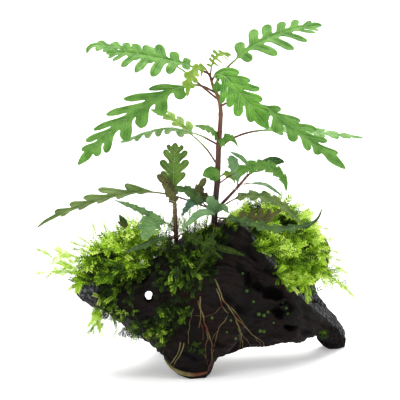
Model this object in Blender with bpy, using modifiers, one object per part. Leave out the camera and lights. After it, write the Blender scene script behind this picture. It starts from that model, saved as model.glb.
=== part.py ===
# Hygrophila pinnatifida with moss on a piece of driftwood.
# Lengths in the tables are millimetres. Points are drawn on a front view that looks down a little:
# (across, up, depth), where depth runs away from the viewer and the front foot stands at up = 0.

import math

import bmesh
import bpy
from mathutils import Vector
from mathutils.bvhtree import BVHTree

MM = 0.001
GAP = 0.3
VIEW_TILT = math.radians(13.0)
FRONT_FOOT_DEPTH = -42.0
MIDDLE_ACROSS = 0.3
MIDDLE_DEPTH = -1.0
RELAX_TIMES = 4

# Driftwood: sections across the grain, as (place along the limb, two centres, two half sizes)
TRUNK = [
    (-52, -14, 50, 19, 22),
    (-40, -16, 50, 26, 30),
    (-25, -16, 50, 30, 41),
    (-10, -14, 54, 32, 47),
    (5, -12, 58, 32, 49),
    (20, -8, 60, 28, 53),
    (30, -6, 62, 23, 50),
    (40, -4, 56, 21, 44),
    (50, -2, 50, 20, 38),
    (61, 2, 45, 20, 30),
    (72, 8, 36, 20, 23),
    (84, 20, 31, 19, 17),
    (92, 32, 26, 17, 16),
    (100, 42, 17, 13, 12),
    (107, 49, 9, 8, 8),
    (111, 51, 6, 4, 5),
]
REAR_WALL = [
    (10, 24, 78, 14, 24),
    (28, 31, 84, 13, 26),
    (42, 36, 88, 12, 26),
    (58, 38, 84, 12, 27),
    (74, 38, 80, 12, 27),
    (86, 38, 76, 11, 24),
    (93, 38, 74, 8, 16),
    (97, 38, 73, 3, 7),
]
TROUGH = [
    (12, 14, 58, 18, 32),
    (20, 16, 60, 20, 34),
    (45, 20, 54, 22, 30),
    (65, 24, 46, 22, 26),
    (82, 30, 40, 15, 20),
    (90, 34, 36, 6, 8),
]
LEFT_ARM = [
    (-94, -18, 62, 4, 4),
    (-90, -18, 61, 9, 9),
    (-82, -18, 59, 13, 12),
    (-70, -17, 57, 17, 14),
    (-59, -16, 54, 20, 19),
    (-48, -15, 52, 23, 25),
    (-36, -14, 50, 22, 28),
]
FRONT_FOOT = [
    (58, -4, -20, 30, 22),
    (36, -2, -28, 38, 18),
    (22, -4, -34, 31, 15),
    (9, -6, -39, 20, 12),
    (0, -7, -41, 14, 10),
    (-6, -7, -41, 13, 9),
]
REAR_FOOT = [
    (62, -10, 8, 26, 20),
    (30, -14, 30, 20, 18),
    (0, -16, 45, 15, 14),
    (-6, -16, 45, 14, 13),
]
RIGHT_FOOT = [
    (16, 94, 42, 9, 9),
    (6, 98, 47, 11, 9),
    (0, 99, 48, 11, 8),
    (-6, 99, 48, 10, 7),
]
WOOD_VOXEL = 2.6
WOOD_FACES = 960
WOOD_LUMP_SIZE = 18
WOOD_LUMP_HEIGHT = 5
SECTION_SIDES = 14
FORK_AT = -38.0

# Hollows worn into the front: (across, up, half width, half depth, half height)
HOLLOWS = [
    (55.5, 62.0, 15, 7, 5.5),
    (61.5, 47.0, 9, 6, 4.5),
    (67.0, 36.5, 5, 5, 3),
    (38.0, 72.0, 8, 6, 7),
]
PEEPHOLE = (-38.5, 60.5)
PEEPHOLE_RADIUS = 3.4
BEYOND = 150

# Stems: route points and radius at each
STEMS = {
    "stem_main": [
        (10.0, 98.0, -7, 2.5),
        (10.5, 112.0, -6, 2.5),
        (11.5, 130.0, -4, 2.4),
        (13.0, 147.0, -2, 2.3),
        (14.0, 172.0, 0, 2.2),
        (15.5, 196.0, 0, 1.8),
        (14.0, 208.0, 0, 1.6),
        (10.5, 215.0, 0, 1.4),
        (8.3, 222.0, 0, 1.1),
        (7.4, 226.5, 0, 0.8),
    ],
    "stem_second": [
        (-17.3, 95.0, -15, 1.3),
        (-17.9, 104.0, -16, 1.3),
        (-18.5, 118.0, -17, 1.4),
        (-19.2, 137.0, -18, 1.2),
    ],
    "stem_branch": [
        (14.6, 127.4, -4.5, 1.3),
        (22.0, 135.0, -6, 1.25),
        (28.5, 142.0, -7, 1.1),
        (35.0, 149.5, -7, 1.0),
        (39.5, 153.0, -7, 0.8),
        (45.0, 153.6, -7, 0.6),
    ],
}

# Leaves. wide is half the width across the lobes, stalk is its share of the length, fold lifts
# the two halves and face is what the top turns to. A route begins inside what carries the leaf.
LEAVES = {
    "leaf_left_large": dict(
        kind="fresh", wide=13.5, lobes=6, stalk=0.17, fold=6, face=(-0.15, -0.9, 0.45),
        route=[(12, 212, 0), (2, 217, -6), (-7.5, 217.5, -11), (-24, 212.5, -18), (-48, 197.5, -26),
               (-69, 180.5, -33), (-91, 158, -38)]),
    "leaf_top_left_front": dict(
        kind="fresh", wide=12.5, lobes=6, stalk=0.2, fold=8, face=(-0.05, -0.6, 0.8),
        route=[(7.5, 226, 0), (-7, 232, -5), (-30, 237.5, -11), (-52.5, 241.5, -16), (-70, 241, -20)]),
    "leaf_top_left_back": dict(
        kind="fresh", wide=12, lobes=7, stalk=0.24, fold=6, face=(-0.1, -0.3, 0.95),
        route=[(13.6, 207, 0), (4, 215, 6), (-6, 223.5, 11), (-14, 230, 14), (-30, 238.5, 19),
               (-50, 244.5, 23), (-69, 247.5, 26), (-81, 247.5, 26), (-85, 242, 24)]),
    "leaf_mid_left": dict(
        kind="pale", wide=11, lobes=5, stalk=0.2, fold=-26, face=(0, -0.25, 1),
        route=[(14, 173, 0), (4, 178.5, -5), (-4.5, 182, -9), (-22, 186, -13), (-38, 183, -16),
               (-60, 175, -19)]),
    "leaf_mid_left_back": dict(
        kind="lime", wide=9, lobes=5, stalk=0.3, fold=4, face=(0.2, -0.35, 0.9),
        route=[(13.6, 157, 0), (5.5, 169.5, 7), (-5, 180, 11), (-19, 191, 15), (-37, 200, 18)]),
    "leaf_mid_left_small": dict(
        kind="dark", wide=4, lobes=0, stalk=0.1, fold=4, face=(0, -0.5, 0.8),
        route=[(14.2, 176.5, 0), (10, 183, -5), (4, 186, -9), (-4.5, 187.5, -12)]),
    "leaf_top_right": dict(
        kind="fresh", wide=13.5, lobes=6, stalk=0.26, fold=6, face=(0.05, -0.5, 0.85),
        route=[(10.5, 216, 0), (18.5, 229, 5), (34.5, 243.5, 11), (52, 253.5, 15), (71, 260, 18),
               (91.5, 263, 20)]),
    "leaf_right_front": dict(
        kind="bright", wide=14.5, lobes=7, stalk=0.08, fold=5, face=(0.3, -0.85, 0.45),
        route=[(9, 221.5, 0), (15, 226.5, -7), (23, 220, -14), (34.5, 205.5, -23), (41, 197, -28),
               (51, 185, -33)]),
    "leaf_right_large": dict(
        kind="fresh", wide=12.5, lobes=6, stalk=0.3, fold=6, face=(-0.1, -0.55, 0.8),
        route=[(15, 202, 0), (30, 208.5, 1), (47, 202.5, 0), (71, 185, -2), (90, 170, -4), (109, 155, -6)]),
    "leaf_right_far": dict(
        kind="fresh", wide=11, lobes=6, stalk=0.34, fold=3, face=(0, -0.12, 1),
        route=[(14, 171, 0), (26, 179, 6), (44, 184, 12), (71, 184, 18), (100, 181, 22), (123, 178.5, 25)]),
    "leaf_tip_right": dict(
        kind="young", wide=6, lobes=4, stalk=0.3, fold=10, face=(0, -0.7, 0.5),
        route=[(7.8, 225, 0), (9.5, 234, 3), (13.5, 240, 5), (24, 242, 7)]),
    "leaf_tip_left": dict(
        kind="young", wide=5, lobes=4, stalk=0.35, fold=10, face=(0, -0.9, 0.3),
        route=[(8.6, 221, 0), (0.5, 229, -12), (-5.5, 226, -16), (-9, 217, -20), (-10.5, 206, -22)]),
    "leaf_stem_small": dict(
        kind="dark", wide=3.6, lobes=0, stalk=0.2, fold=6, face=(0, -0.8, 0.6),
        route=[(14.4, 167, 0), (17, 176, -6), (23, 179, -9), (28.5, 172, -12)]),
    "leaf_stem_ovate": dict(
        kind="dark", wide=5.2, lobes=0, stalk=0.1, fold=4, face=(0, -0.9, 0.4),
        route=[(13, 144, -2), (11, 150, -7), (6.5, 152.5, -10), (0.5, 151, -12)]),
    "leaf_branch_upright": dict(
        kind="dark", wide=4.8, lobes=3, stalk=0.15, fold=4, face=(0, -0.95, 0.3),
        route=[(28.2, 141.5, -7), (28, 150, -8.5), (25.5, 160, -9), (22, 166.5, -9)]),
    "leaf_branch_narrow": dict(
        kind="dark", wide=3, lobes=0, stalk=0.25, fold=3, face=(0, -0.6, 0.8),
        route=[(34, 148.5, -7), (35, 158, -4), (31, 165.5, -2), (23, 169.5, -1)]),
    "leaf_branch_arch": dict(
        kind="deep", wide=5.6, lobes=5, stalk=0.28, fold=8, face=(0.1, -0.7, 0.7),
        route=[(12.8, 143, -2), (20, 149, -12), (31, 154, -19), (48, 157, -22), (58.5, 152, -24),
               (64.5, 139, -25)]),
    "leaf_branch_back": dict(
        kind="deep", wide=4.6, lobes=3, stalk=0.2, fold=4, face=(0, -0.5, 0.85),
        route=[(39, 152.6, -7), (45, 158.5, -3), (53, 161.5, 0), (62.5, 162, 3)]),
    "leaf_branch_low": dict(
        kind="deep", wide=2.8, lobes=0, stalk=0.25, fold=4, face=(0, -0.4, 0.9),
        route=[(30, 143.6, -7), (37.5, 144.5, -4), (49.5, 143.5, -2), (61, 135.5, -1)]),
    "leaf_branch_bud": dict(
        kind="dark", wide=3, lobes=0, stalk=0.1, fold=4, face=(0, -0.8, 0.5),
        route=[(13.5, 148, -2), (19, 152.5, 3), (23, 152, 5), (26, 147.5, 6)]),
    "leaf_low_right": dict(
        kind="olive", wide=6.5, lobes=5, stalk=0.28, fold=12, face=(0.2, -0.55, 0.8),
        route=[(11.8, 123, -5), (22.5, 131, -8), (34, 135, -9), (49, 134, -10), (62, 127.5, -11),
               (77.5, 113, -13)]),
    "leaf_low_right_lobed": dict(
        kind="olive", wide=8, lobes=5, stalk=0.16, fold=14, face=(0, -0.8, 0.6),
        route=[(11.2, 119, -5.5), (22, 118, -14), (41, 117.5, -20), (52, 119, -22), (61, 125, -22)]),
    "leaf_low_right_long": dict(
        kind="olive", wide=4.4, lobes=4, stalk=0.2, fold=8, face=(0, -0.7, 0.7),
        route=[(10.6, 116, -6), (21, 118.5, -22), (40, 114, -29), (56, 110.5, -30), (77, 112.5, -27),
               (87, 117, -25), (91.5, 126, -23)]),
    "leaf_on_wood": dict(
        kind="deep", wide=2.8, lobes=0, stalk=0.45, fold=4, face=(0, -0.85, 0.5),
        route=[(10.2, 108, -7), (11, 104.5, -26), (15, 99.5, -37), (24, 96, -35), (34, 91.5, -29)]),
    "leaf_low_left_long": dict(
        kind="olive", wide=9, lobes=6, stalk=0.34, fold=14, face=(0, -0.22, 0.97),
        route=[(11.5, 124, -5), (0, 128.5, -8), (-21, 135.5, -8), (-40.5, 138, -10), (-65, 134.5, -15),
               (-90, 127, -21), (-112.5, 117.5, -26), (-122, 111, -28)]),
    "leaf_low_left_narrow": dict(
        kind="deep", wide=4.2, lobes=4, stalk=0.24, fold=4, face=(0.1, -0.8, 0.6),
        route=[(-18.4, 111, -16.5), (-28.5, 117, -20), (-46.5, 125.5, -23), (-64, 132, -25)]),
    "leaf_low_left_round": dict(
        kind="matte", wide=9.5, lobes=3, stalk=0.18, fold=5, face=(-0.1, -0.95, 0.35),
        route=[(-18, 106.5, -16.3), (-24.5, 114.5, -25), (-32, 115, -31), (-38, 110, -34),
               (-43, 102, -36)]),
    "leaf_upright_lobed": dict(
        kind="deep", wide=11, lobes=4, stalk=0.1, fold=4, face=(0.05, -0.98, 0.2),
        route=[(-19.2, 137, -18), (-20, 146, -17), (-19.5, 158, -15.5), (-18.5, 175, -12.5)]),
    "leaf_in_left_moss": dict(
        kind="brown", wide=2.8, lobes=0, stalk=0.1, fold=6, face=(0, -0.8, 0.5),
        route=[(-53, 108, -8), (-57, 117, -9), (-61.5, 121.5, -10)]),
    "leaf_base_brown": dict(
        kind="brown", wide=3.6, lobes=0, stalk=0.15, fold=5, face=(0, -0.9, 0.4),
        route=[(-18.8, 128, -17.4), (-22.5, 140, -23), (-27, 146, -26), (-32, 151, -27)]),
    "leaf_base_dark": dict(
        kind="dark", wide=4, lobes=0, stalk=0.1, fold=5, face=(0, -0.8, 0.6),
        route=[(-18.7, 124, -17.3), (-14.5, 136, -24), (-4.5, 138.5, -27)]),
    "leaf_base_dark_upright": dict(
        kind="dark", wide=4, lobes=0, stalk=0.15, fold=5, face=(-0.2, -0.95, 0.2),
        route=[(12.3, 136, -3.5), (5, 137, -10), (1, 142, -13), (4.5, 150.5, -14)]),
    "leaf_base_bluish": dict(
        kind="bluish", wide=3.8, lobes=0, stalk=0.3, fold=5, face=(0, -0.9, 0.4),
        route=[(11.8, 127, -4.6), (3, 131, -12), (-5, 130.5, -18), (-10, 126, -21), (-14.5, 119.5, -23)]),
    "leaf_base_ovate": dict(
        kind="bluish", wide=6, lobes=0, stalk=0.15, fold=5, face=(0.1, -0.95, 0.3),
        route=[(11.2, 122, -5), (11.3, 126.5, -12), (9.5, 132, -15), (7.5, 137, -16)]),
    "leaf_base_arched": dict(
        kind="bluish", wide=5, lobes=0, stalk=0.4, fold=6, face=(0, -0.8, 0.6),
        route=[(10.9, 118, -5.6), (9.8, 122.5, -22), (1, 122.5, -32), (-7, 116.5, -37),
               (-13.5, 110.5, -39)]),
    "leaf_base_bud": dict(
        kind="dark", wide=2.8, lobes=0, stalk=0.1, fold=5, face=(0.3, -0.9, 0.3),
        route=[(11.2, 122, -5), (17, 127, -13), (21.5, 122, -19)]),
    "leaf_front_pale": dict(
        kind="deep", wide=5.4, lobes=3, stalk=0.36, fold=6, face=(0, -0.85, 0.55),
        route=[(-17.8, 103.5, -16), (-13, 106.5, -32), (-4, 103, -46), (6, 97, -52), (17, 88, -52)]),
    "leaf_front_hanging": dict(
        kind="deep", wide=4.4, lobes=3, stalk=0.34, fold=5, face=(-0.2, -0.97, 0.1),
        route=[(10.6, 115, -6), (10.5, 111.5, -26), (8.5, 102, -42), (5, 91, -52), (0, 83, -56),
               (-5.5, 75, -59)]),
    "leaf_front_narrow": dict(
        kind="deep", wide=3.4, lobes=3, stalk=0.3, fold=4, face=(0, -0.8, 0.6),
        route=[(-17.7, 102, -16), (-22, 104.5, -26), (-32, 102.5, -32), (-42, 98, -36), (-57, 92.5, -41)]),
}
STEM_STEP = 11.0
STEM_CLEAR = 0.6
LEAF_STEP = 5.0
LEAF_THICK = 0.9
LONG_STALK = 14.0
STALK_CLEAR = 1.5
STALK_REACH = 24.0
PROBES = 8
LOBE_SWEEP = math.radians(48.0)
LOBE_STEPS = ((0.6, 1.15), (1.0, 0.6))
SMALL_LEAF = 11.5
FLAT_LEAF = 8.9

# Moss cushions: lumps as (across, up, depth or None for the wood's front, three radii)
MOSS = {
    "moss_left": [
        (-74, 92, -14, 24, 20, 18),
        (-97, 86, -17, 19, 11, 9),
        (-111, 92, -18, 9, 5, 6),
        (-112, 77.5, -18, 10, 5, 4.5),
        (-66, 106, -6, 17, 14, 10),
        (-48, 100, -8, 16, 18, 15),
        (-86, 75, -26, 11, 9, 8),
        (-62, 84, -30, 16, 10, 13),
    ],
    "moss_front": [
        (-28, 92, None, 24, 10, 16),
        (-2, 93, None, 17, 8, 15),
        (-50, 86, -24, 15, 12, 14),
        (-12, 72, None, 18, 7, 17),
        (-50, 68, None, 14, 8, 9),
        (-40, 38, None, 22, 7, 9),
        (-64, 52, None, 17, 7, 9),
        (-26, 30, None, 11, 6, 8),
        (-24, 54, None, 11, 6, 18),
        (-62, 64, None, 12, 8, 10),
        (-14, 48, None, 9, 5, 12),
    ],
    "moss_right": [
        (46, 124, 20, 20, 16, 11),
        (66, 114, 22, 24, 20, 15),
        (60, 95, 8, 22, 18, 15),
        (84, 96, 26, 16, 18, 18),
        (78, 77, 18, 17, 14, 16),
        (96, 82, 32, 14, 12, 14),
        (104, 70, 36, 9, 8, 9),
        (110, 64, 37, 5, 4, 4),
        (77, 64, 6, 9, 7, 8),
        (44, 108, 0, 13, 9, 11),
    ],
    "moss_hanging_tuft": [
        (-77, 50, -20, 5, 5, 7),
        (-78, 40, -20, 8, 5, 7),
    ],
    "moss_front_sprig": [
        (-5, 20, None, 8, 4, 6.5),
    ],
    "moss_tip_patch": [
        (91, 31, None, 6, 4, 4.5),
    ],
    "moss_ridge_sprig": [
        (59.5, 76, None, 4, 4, 7),
    ],
}
MOSS_VOXEL = 2.6
MOSS_FACES_PER_LUMP = 20
MOSS_FACES_LEAST = 60
MOSS_LUMP_SIZE = 9
MOSS_LUMP_HEIGHT = 3

# Roots: (across, up) points that lie on the front, and the radius
ROOTS = {
    "root_centre": (1.0, [(1, 61), (2, 50.5), (4, 37), (8.5, 22), (7.5, 8)]),
    "root_pale": (0.7, [(-2.2, 57), (-1.8, 46), (-0.5, 36), (1.5, 28)]),
    "root_thin_green": (0.6, [(-5.5, 56.5), (-7.5, 43.5), (-10, 28.5)]),
    "root_long_right": (1.0, [(9, 73), (15, 63), (23, 47.5), (29, 35.5), (31.5, 26.5), (32, 20.5)]),
    "root_reddish": (0.7, [(11.5, 64), (14, 56), (16, 50)]),
    "root_inner_right": (0.6, [(19, 45), (13.5, 34.5), (11.5, 22)]),
    "root_outer_right": (0.7, [(26, 52), (31, 43), (38, 37), (45, 28), (46.5, 24), (41.5, 22)]),
    "root_low_left": (0.9, [(-17, 26), (-18, 17), (-22, 11.5)]),
}
ROOT_STEP = 4.0
ROOT_CLEAR = 0.6
PUSH_TIMES = 20

COLOURS = {
    "driftwood": ((0.022, 0.018, 0.017), 0.55),
    "stem": ((0.12, 0.028, 0.022), 0.45),
    "fresh": ((0.07, 0.25, 0.045), 0.5),
    "bright": ((0.10, 0.34, 0.05), 0.5),
    "pale": ((0.16, 0.26, 0.14), 0.6),
    "lime": ((0.20, 0.36, 0.06), 0.5),
    "young": ((0.27, 0.42, 0.11), 0.5),
    "deep": ((0.035, 0.12, 0.045), 0.5),
    "dark": ((0.03, 0.10, 0.03), 0.5),
    "bluish": ((0.045, 0.13, 0.085), 0.5),
    "matte": ((0.10, 0.25, 0.11), 0.65),
    "olive": ((0.12, 0.15, 0.05), 0.5),
    "brown": ((0.13, 0.08, 0.03), 0.6),
    "root": ((0.19, 0.14, 0.06), 0.6),
    "moss_bright": ((0.17, 0.42, 0.02), 0.8),
    "moss_deep": ((0.05, 0.16, 0.015), 0.8),
}
MOSS_COLOUR = {"moss_front": "moss_deep", "moss_front_sprig": "moss_deep"}


def clear_scene():
    for obj in list(bpy.data.objects):
        bpy.data.objects.remove(obj)
    for name in ("hygrophila_on_driftwood", "guides_and_cutters"):
        collection = bpy.data.collections.new(name)
        bpy.context.scene.collection.children.link(collection)
    bpy.data.collections["guides_and_cutters"].hide_render = True


def seen(across, up, depth):
    """A drawn point in metres, with the middle of the whole plant over the origin."""
    height = (up - (depth - FRONT_FOOT_DEPTH) * math.sin(VIEW_TILT)) / math.cos(VIEW_TILT)
    return Vector((across - MIDDLE_ACROSS, depth - MIDDLE_DEPTH, height)) * MM


def seen_on(surfaces, across, up):
    """The frontmost point of the surfaces at a drawn place, with its normal."""
    ahead = Vector((0, math.cos(VIEW_TILT), -math.sin(VIEW_TILT)))
    start = seen(across, up, -BEYOND)
    hits = [surface.ray_cast(start, ahead) for surface in surfaces]
    hits = [hit for hit in hits if hit[0] is not None]
    nearest = min(hits, key=lambda hit: hit[3])
    return nearest[0], nearest[1]


def material(kind):
    found = bpy.data.materials.get(kind)
    if found:
        return found
    colour, roughness = COLOURS[kind]
    made = bpy.data.materials.new(kind)
    made.use_nodes = True
    shader = made.node_tree.nodes["Principled BSDF"]
    shader.inputs["Base Color"].default_value = (*colour, 1)
    shader.inputs["Roughness"].default_value = roughness
    shader.inputs["Metallic"].default_value = 0.0
    return made


def add_piece(name, mesh, kind):
    mesh.materials.clear()
    mesh.materials.append(material(kind))
    obj = bpy.data.objects.new(name, mesh)
    bpy.data.collections["hygrophila_on_driftwood"].objects.link(obj)
    return obj


def add_guide(name, data):
    obj = bpy.data.objects.new(name, data)
    bpy.data.collections["guides_and_cutters"].objects.link(obj)
    obj.hide_render = True
    obj.display_type = "WIRE"
    return obj


def finished_mesh(obj):
    """The mesh of an object with its modifiers applied, closed, and the object removed."""
    evaluated = obj.evaluated_get(bpy.context.evaluated_depsgraph_get())
    mesh = bpy.data.meshes.new_from_object(evaluated)
    mesh.transform(obj.matrix_world)
    bpy.data.objects.remove(obj)
    return mesh


def edit(mesh, change):
    """Runs a change on the mesh as a bmesh."""
    bm = bmesh.new()
    bm.from_mesh(mesh)
    change(bm)
    bm.to_mesh(mesh)
    bm.free()
    return mesh


def smooth_route(points, step):
    """Points about one step apart on a smooth curve through the given ones, in any number of values."""
    points = [Vector(point) for point in points]
    ends = [2 * points[0] - points[1], *points, 2 * points[-1] - points[-2]]
    route = []
    for before, start, end, after in zip(ends, ends[1:], ends[2:], ends[3:]):
        count = max(1, round((end - start).length / step))
        for i in range(count):
            t = i / count
            route.append(
                0.5 * (2 * start + (end - before) * t + (2 * before - 5 * start + 4 * end - after) * t**2
                       + (3 * start - before - 3 * end + after) * t**3)
            )
    return [*route, points[-1]]


def poly_curve(name, points, radii=None, tilts=None):
    curve = bpy.data.curves.new(name, "CURVE")
    curve.dimensions = "3D"
    curve.twist_mode = "Z_UP"
    spline = curve.splines.new("POLY")
    spline.points.add(len(points) - 1)
    for i, point in enumerate(points):
        spline.points[i].co = (*point, 1)
        spline.points[i].radius = radii[i] if radii else 1
        spline.points[i].tilt = tilts[i] if tilts else 0
    return curve


def tube(name, points, radii, extra=0.0, sides=2):
    """A closed tube mesh through the points."""
    curve = poly_curve(name, points, [radius + extra for radius in radii])
    curve.twist_mode = "MINIMUM"
    curve.bevel_depth = MM
    curve.bevel_resolution = sides
    curve.use_fill_caps = True
    mesh = finished_mesh(add_guide(name, curve))
    return edit(mesh, lambda bm: bmesh.ops.remove_doubles(bm, verts=bm.verts, dist=0.00001))


def limb(bm, sections, along="X"):
    """Adds one limb of the wood: elliptical sections along one axis, bridged and capped."""
    rings = []
    for place, first, second, first_half, second_half in sections:
        ring = []
        for i in range(SECTION_SIDES):
            turn = math.tau * i / SECTION_SIDES
            a = first + first_half * math.cos(turn)
            b = second + second_half * math.sin(turn)
            x, y, z = (place, a, b) if along == "X" else (a, b, place)
            ring.append(bm.verts.new(Vector((x - MIDDLE_ACROSS, y - MIDDLE_DEPTH, z)) * MM))
        rings.append(ring)
    for low, high in zip(rings, rings[1:]):
        for i in range(SECTION_SIDES):
            j = (i + 1) % SECTION_SIDES
            bm.faces.new((low[i], low[j], high[j], high[i]))
    bm.faces.new(rings[0])
    bm.faces.new(rings[-1])


def boolean(obj, cutter, operation="DIFFERENCE"):
    modifier = obj.modifiers.new(cutter.name, "BOOLEAN")
    modifier.object = cutter
    modifier.operation = operation
    modifier.solver = "EXACT"


def fuse(obj, voxel, faces, lump_size, lump_height):
    """Fuses overlapping bodies into one lumpy skin of about the given number of triangles."""
    remesh = obj.modifiers.new("fuse", "REMESH")
    remesh.mode = "VOXEL"
    remesh.voxel_size = voxel * MM
    relax = obj.modifiers.new("relax", "SMOOTH")
    relax.iterations = RELAX_TIMES
    lumps = bpy.data.textures.new(obj.name, "CLOUDS")
    lumps.noise_scale = lump_size * MM
    uneven = obj.modifiers.new("uneven", "DISPLACE")
    uneven.texture = lumps
    uneven.texture_coords = "GLOBAL"
    uneven.strength = lump_height * MM
    mesh = finished_mesh(obj)
    thin = add_guide("thin", mesh)
    fewer = thin.modifiers.new("fewer", "DECIMATE")
    fewer.ratio = min(1.0, faces / max(1, 2 * len(mesh.polygons)))
    return finished_mesh(thin)


def keep_largest(bm):
    """Removes every loose piece but the one with the most faces."""
    left = set(bm.faces)
    pieces = []
    while left:
        piece = {left.pop()}
        edge_of = list(piece)
        while edge_of:
            face = edge_of.pop()
            for edge in face.edges:
                for other in edge.link_faces:
                    if other in left:
                        left.discard(other)
                        piece.add(other)
                        edge_of.append(other)
        pieces.append(piece)
    pieces.sort(key=len)
    bmesh.ops.delete(bm, geom=[face for piece in pieces[:-1] for face in piece], context="FACES")


def cut_flat(bm, point, normal):
    """Cuts away what lies on the normal's side of a plane and closes the cut."""
    geometry = [*bm.verts, *bm.edges, *bm.faces]
    bmesh.ops.bisect_plane(
        bm, geom=geometry, dist=1e-7, plane_co=Vector(point), plane_no=Vector(normal), clear_outer=True)
    rim = [edge for edge in bm.edges if edge.is_boundary]
    bmesh.ops.holes_fill(bm, edges=rim, sides=0)
    bmesh.ops.triangulate(bm, faces=bm.faces)


def peephole(radius):
    """A rod along the line of sight, through the gap in the wood and the moss."""
    start = seen(*PEEPHOLE, -BEYOND)
    end = seen(*PEEPHOLE, BEYOND)
    return add_guide("peephole", tube("peephole", [start, end], [radius, radius], sides=3))


def make_wood():
    bm = bmesh.new()
    for sections in (TRUNK, REAR_WALL, TROUGH, LEFT_ARM):
        limb(bm, sections)
    for sections in (FRONT_FOOT, REAR_FOOT, RIGHT_FOOT):
        limb(bm, sections, along="Z")
    bmesh.ops.recalc_face_normals(bm, faces=bm.faces)
    mesh = bpy.data.meshes.new("driftwood")
    bm.to_mesh(mesh)
    bm.free()
    mesh = fuse(add_guide("driftwood", mesh), WOOD_VOXEL, WOOD_FACES, WOOD_LUMP_SIZE, WOOD_LUMP_HEIGHT)

    front = BVHTree.FromObject(add_guide("uncut_wood", mesh), bpy.context.evaluated_depsgraph_get())
    wood = add_guide("carved_wood", mesh.copy())
    for i, (across, up, *radii) in enumerate(HOLLOWS):
        place, _ = seen_on([front], across, up)
        boolean(wood, add_guide(f"hollow_{i}", lump_mesh([(place, radii)], subdivisions=1)))
    boolean(wood, peephole(PEEPHOLE_RADIUS))
    mesh = finished_mesh(wood)
    edit(mesh, keep_largest)
    return edit(mesh, lambda bm: cut_flat(bm, (0, 0, 0), (0, 0, -1)))


def split_wood(mesh):
    fork = (FORK_AT - MIDDLE_ACROSS) * MM
    trunk = edit(mesh.copy(), lambda bm: cut_flat(bm, (fork + GAP * MM / 2, 0, 0), (-1, 0, 0)))
    arm = edit(mesh.copy(), lambda bm: cut_flat(bm, (fork - GAP * MM / 2, 0, 0), (1, 0, 0)))
    add_piece("driftwood_trunk", trunk, "driftwood")
    add_piece("driftwood_left_arm", arm, "driftwood")


def lump_mesh(lumps, subdivisions=2):
    """Ellipsoids at (place in metres, three radii in millimetres), in one mesh."""
    bm = bmesh.new()
    for place, radii in lumps:
        made = bmesh.ops.create_icosphere(bm, subdivisions=subdivisions, radius=MM)
        bmesh.ops.scale(bm, vec=radii, verts=made["verts"])
        bmesh.ops.translate(bm, vec=place, verts=made["verts"])
    mesh = bpy.data.meshes.new("lumps")
    bm.to_mesh(mesh)
    bm.free()
    return mesh


def grown(mesh, distance):
    """A copy of a mesh that stands out by a distance all over, to cut a gap with."""
    obj = add_guide("grown", mesh.copy())
    out = obj.modifiers.new("out", "DISPLACE")
    out.strength = distance * MM
    out.mid_level = 0
    return add_guide("grown", finished_mesh(obj))


def make_moss(wood, cutters):
    """The cushions, each cut clear of the wood, the stems and the cushions made before it."""
    front = BVHTree.FromObject(wood, bpy.context.evaluated_depsgraph_get())
    made = []
    for name, lumps in MOSS.items():
        placed = []
        for across, up, depth, *radii in lumps:
            place = seen_on([front], across, up)[0] if depth is None else seen(across, up, depth)
            placed.append((place, radii))
        faces = max(MOSS_FACES_LEAST, MOSS_FACES_PER_LUMP * len(lumps))
        mesh = fuse(add_guide(name, lump_mesh(placed)), MOSS_VOXEL, faces, MOSS_LUMP_SIZE, MOSS_LUMP_HEIGHT)
        cushion = add_guide(name, mesh)
        for cutter in cutters:
            boolean(cushion, cutter)
        mesh = finished_mesh(cushion)
        edit(mesh, keep_largest)
        edit(mesh, lambda bm: bmesh.ops.triangulate(bm, faces=bm.faces))
        made.append(add_piece(name, mesh, MOSS_COLOUR.get(name, "moss_bright")))
        cutters.append(grown(mesh, GAP))
    return made


def make_stems(wood_cutter):
    cutters = []
    for name, stations in STEMS.items():
        route = smooth_route([(*seen(*place) / MM, radius) for *place, radius in stations], STEM_STEP)
        points = [Vector(value[:3]) * MM for value in route]
        radii = [value[3] for value in route]
        stem = add_guide(name, tube(name, points, radii))
        boolean(stem, wood_cutter)
        mesh = finished_mesh(stem)
        edit(mesh, keep_largest)
        add_piece(name, mesh, "stem").data.shade_smooth()
        cutters.append(add_guide(name + "_clear", tube(name, points, radii, extra=STEM_CLEAR)))
    return cutters


def face_tilt(tangent, face):
    """The turn about the tangent that brings the upright side of a guide curve to the wanted face."""
    up = Vector((0, 0, 1))
    level = (up - up.dot(tangent) * tangent).normalized()
    wanted = Vector(face)
    wanted = (wanted - wanted.dot(tangent) * tangent).normalized()
    return math.atan2(tangent.dot(level.cross(wanted)), level.dot(wanted))


def leaf_stations(leaf, start, length):
    """Places along the midrib with the strip's half width, and the pairs of places that carry lobes."""
    neck = start + leaf["stalk"] * (length - start)
    blade = length - neck
    lobes = leaf["lobes"]
    if not lobes:
        shares = (0.0, 0.18, 0.42, 0.68, 0.9, 1.0)
        outline = [(neck + share * blade, leaf["wide"] * math.sin(math.pi * (0.06 + 0.9 * share**0.9)))
                   for share in shares]
        return [(start, 0.8), *outline], []
    stations = [(start, 1.0)]
    if neck - start > LONG_STALK:
        stations.append(((start + neck) / 2, 0.9))
    pairs = []
    pitch = blade / (lobes + 0.7)
    for k in range(lobes):
        core = leaf["wide"] * (0.16 + 0.12 * math.sin(math.pi * (k + 0.5) / lobes))
        pairs.append(len(stations))
        stations.append((neck + k * pitch, core * (0.5 if k == 0 else 0.9)))
        stations.append((neck + (k + 0.66) * pitch, core))
    stations.append((neck + lobes * pitch, leaf["wide"] * 0.2))
    stations.append((length - 0.25 * pitch, leaf["wide"] * 0.17))
    stations.append((length, leaf["wide"] * 0.05))
    return stations, pairs


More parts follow.
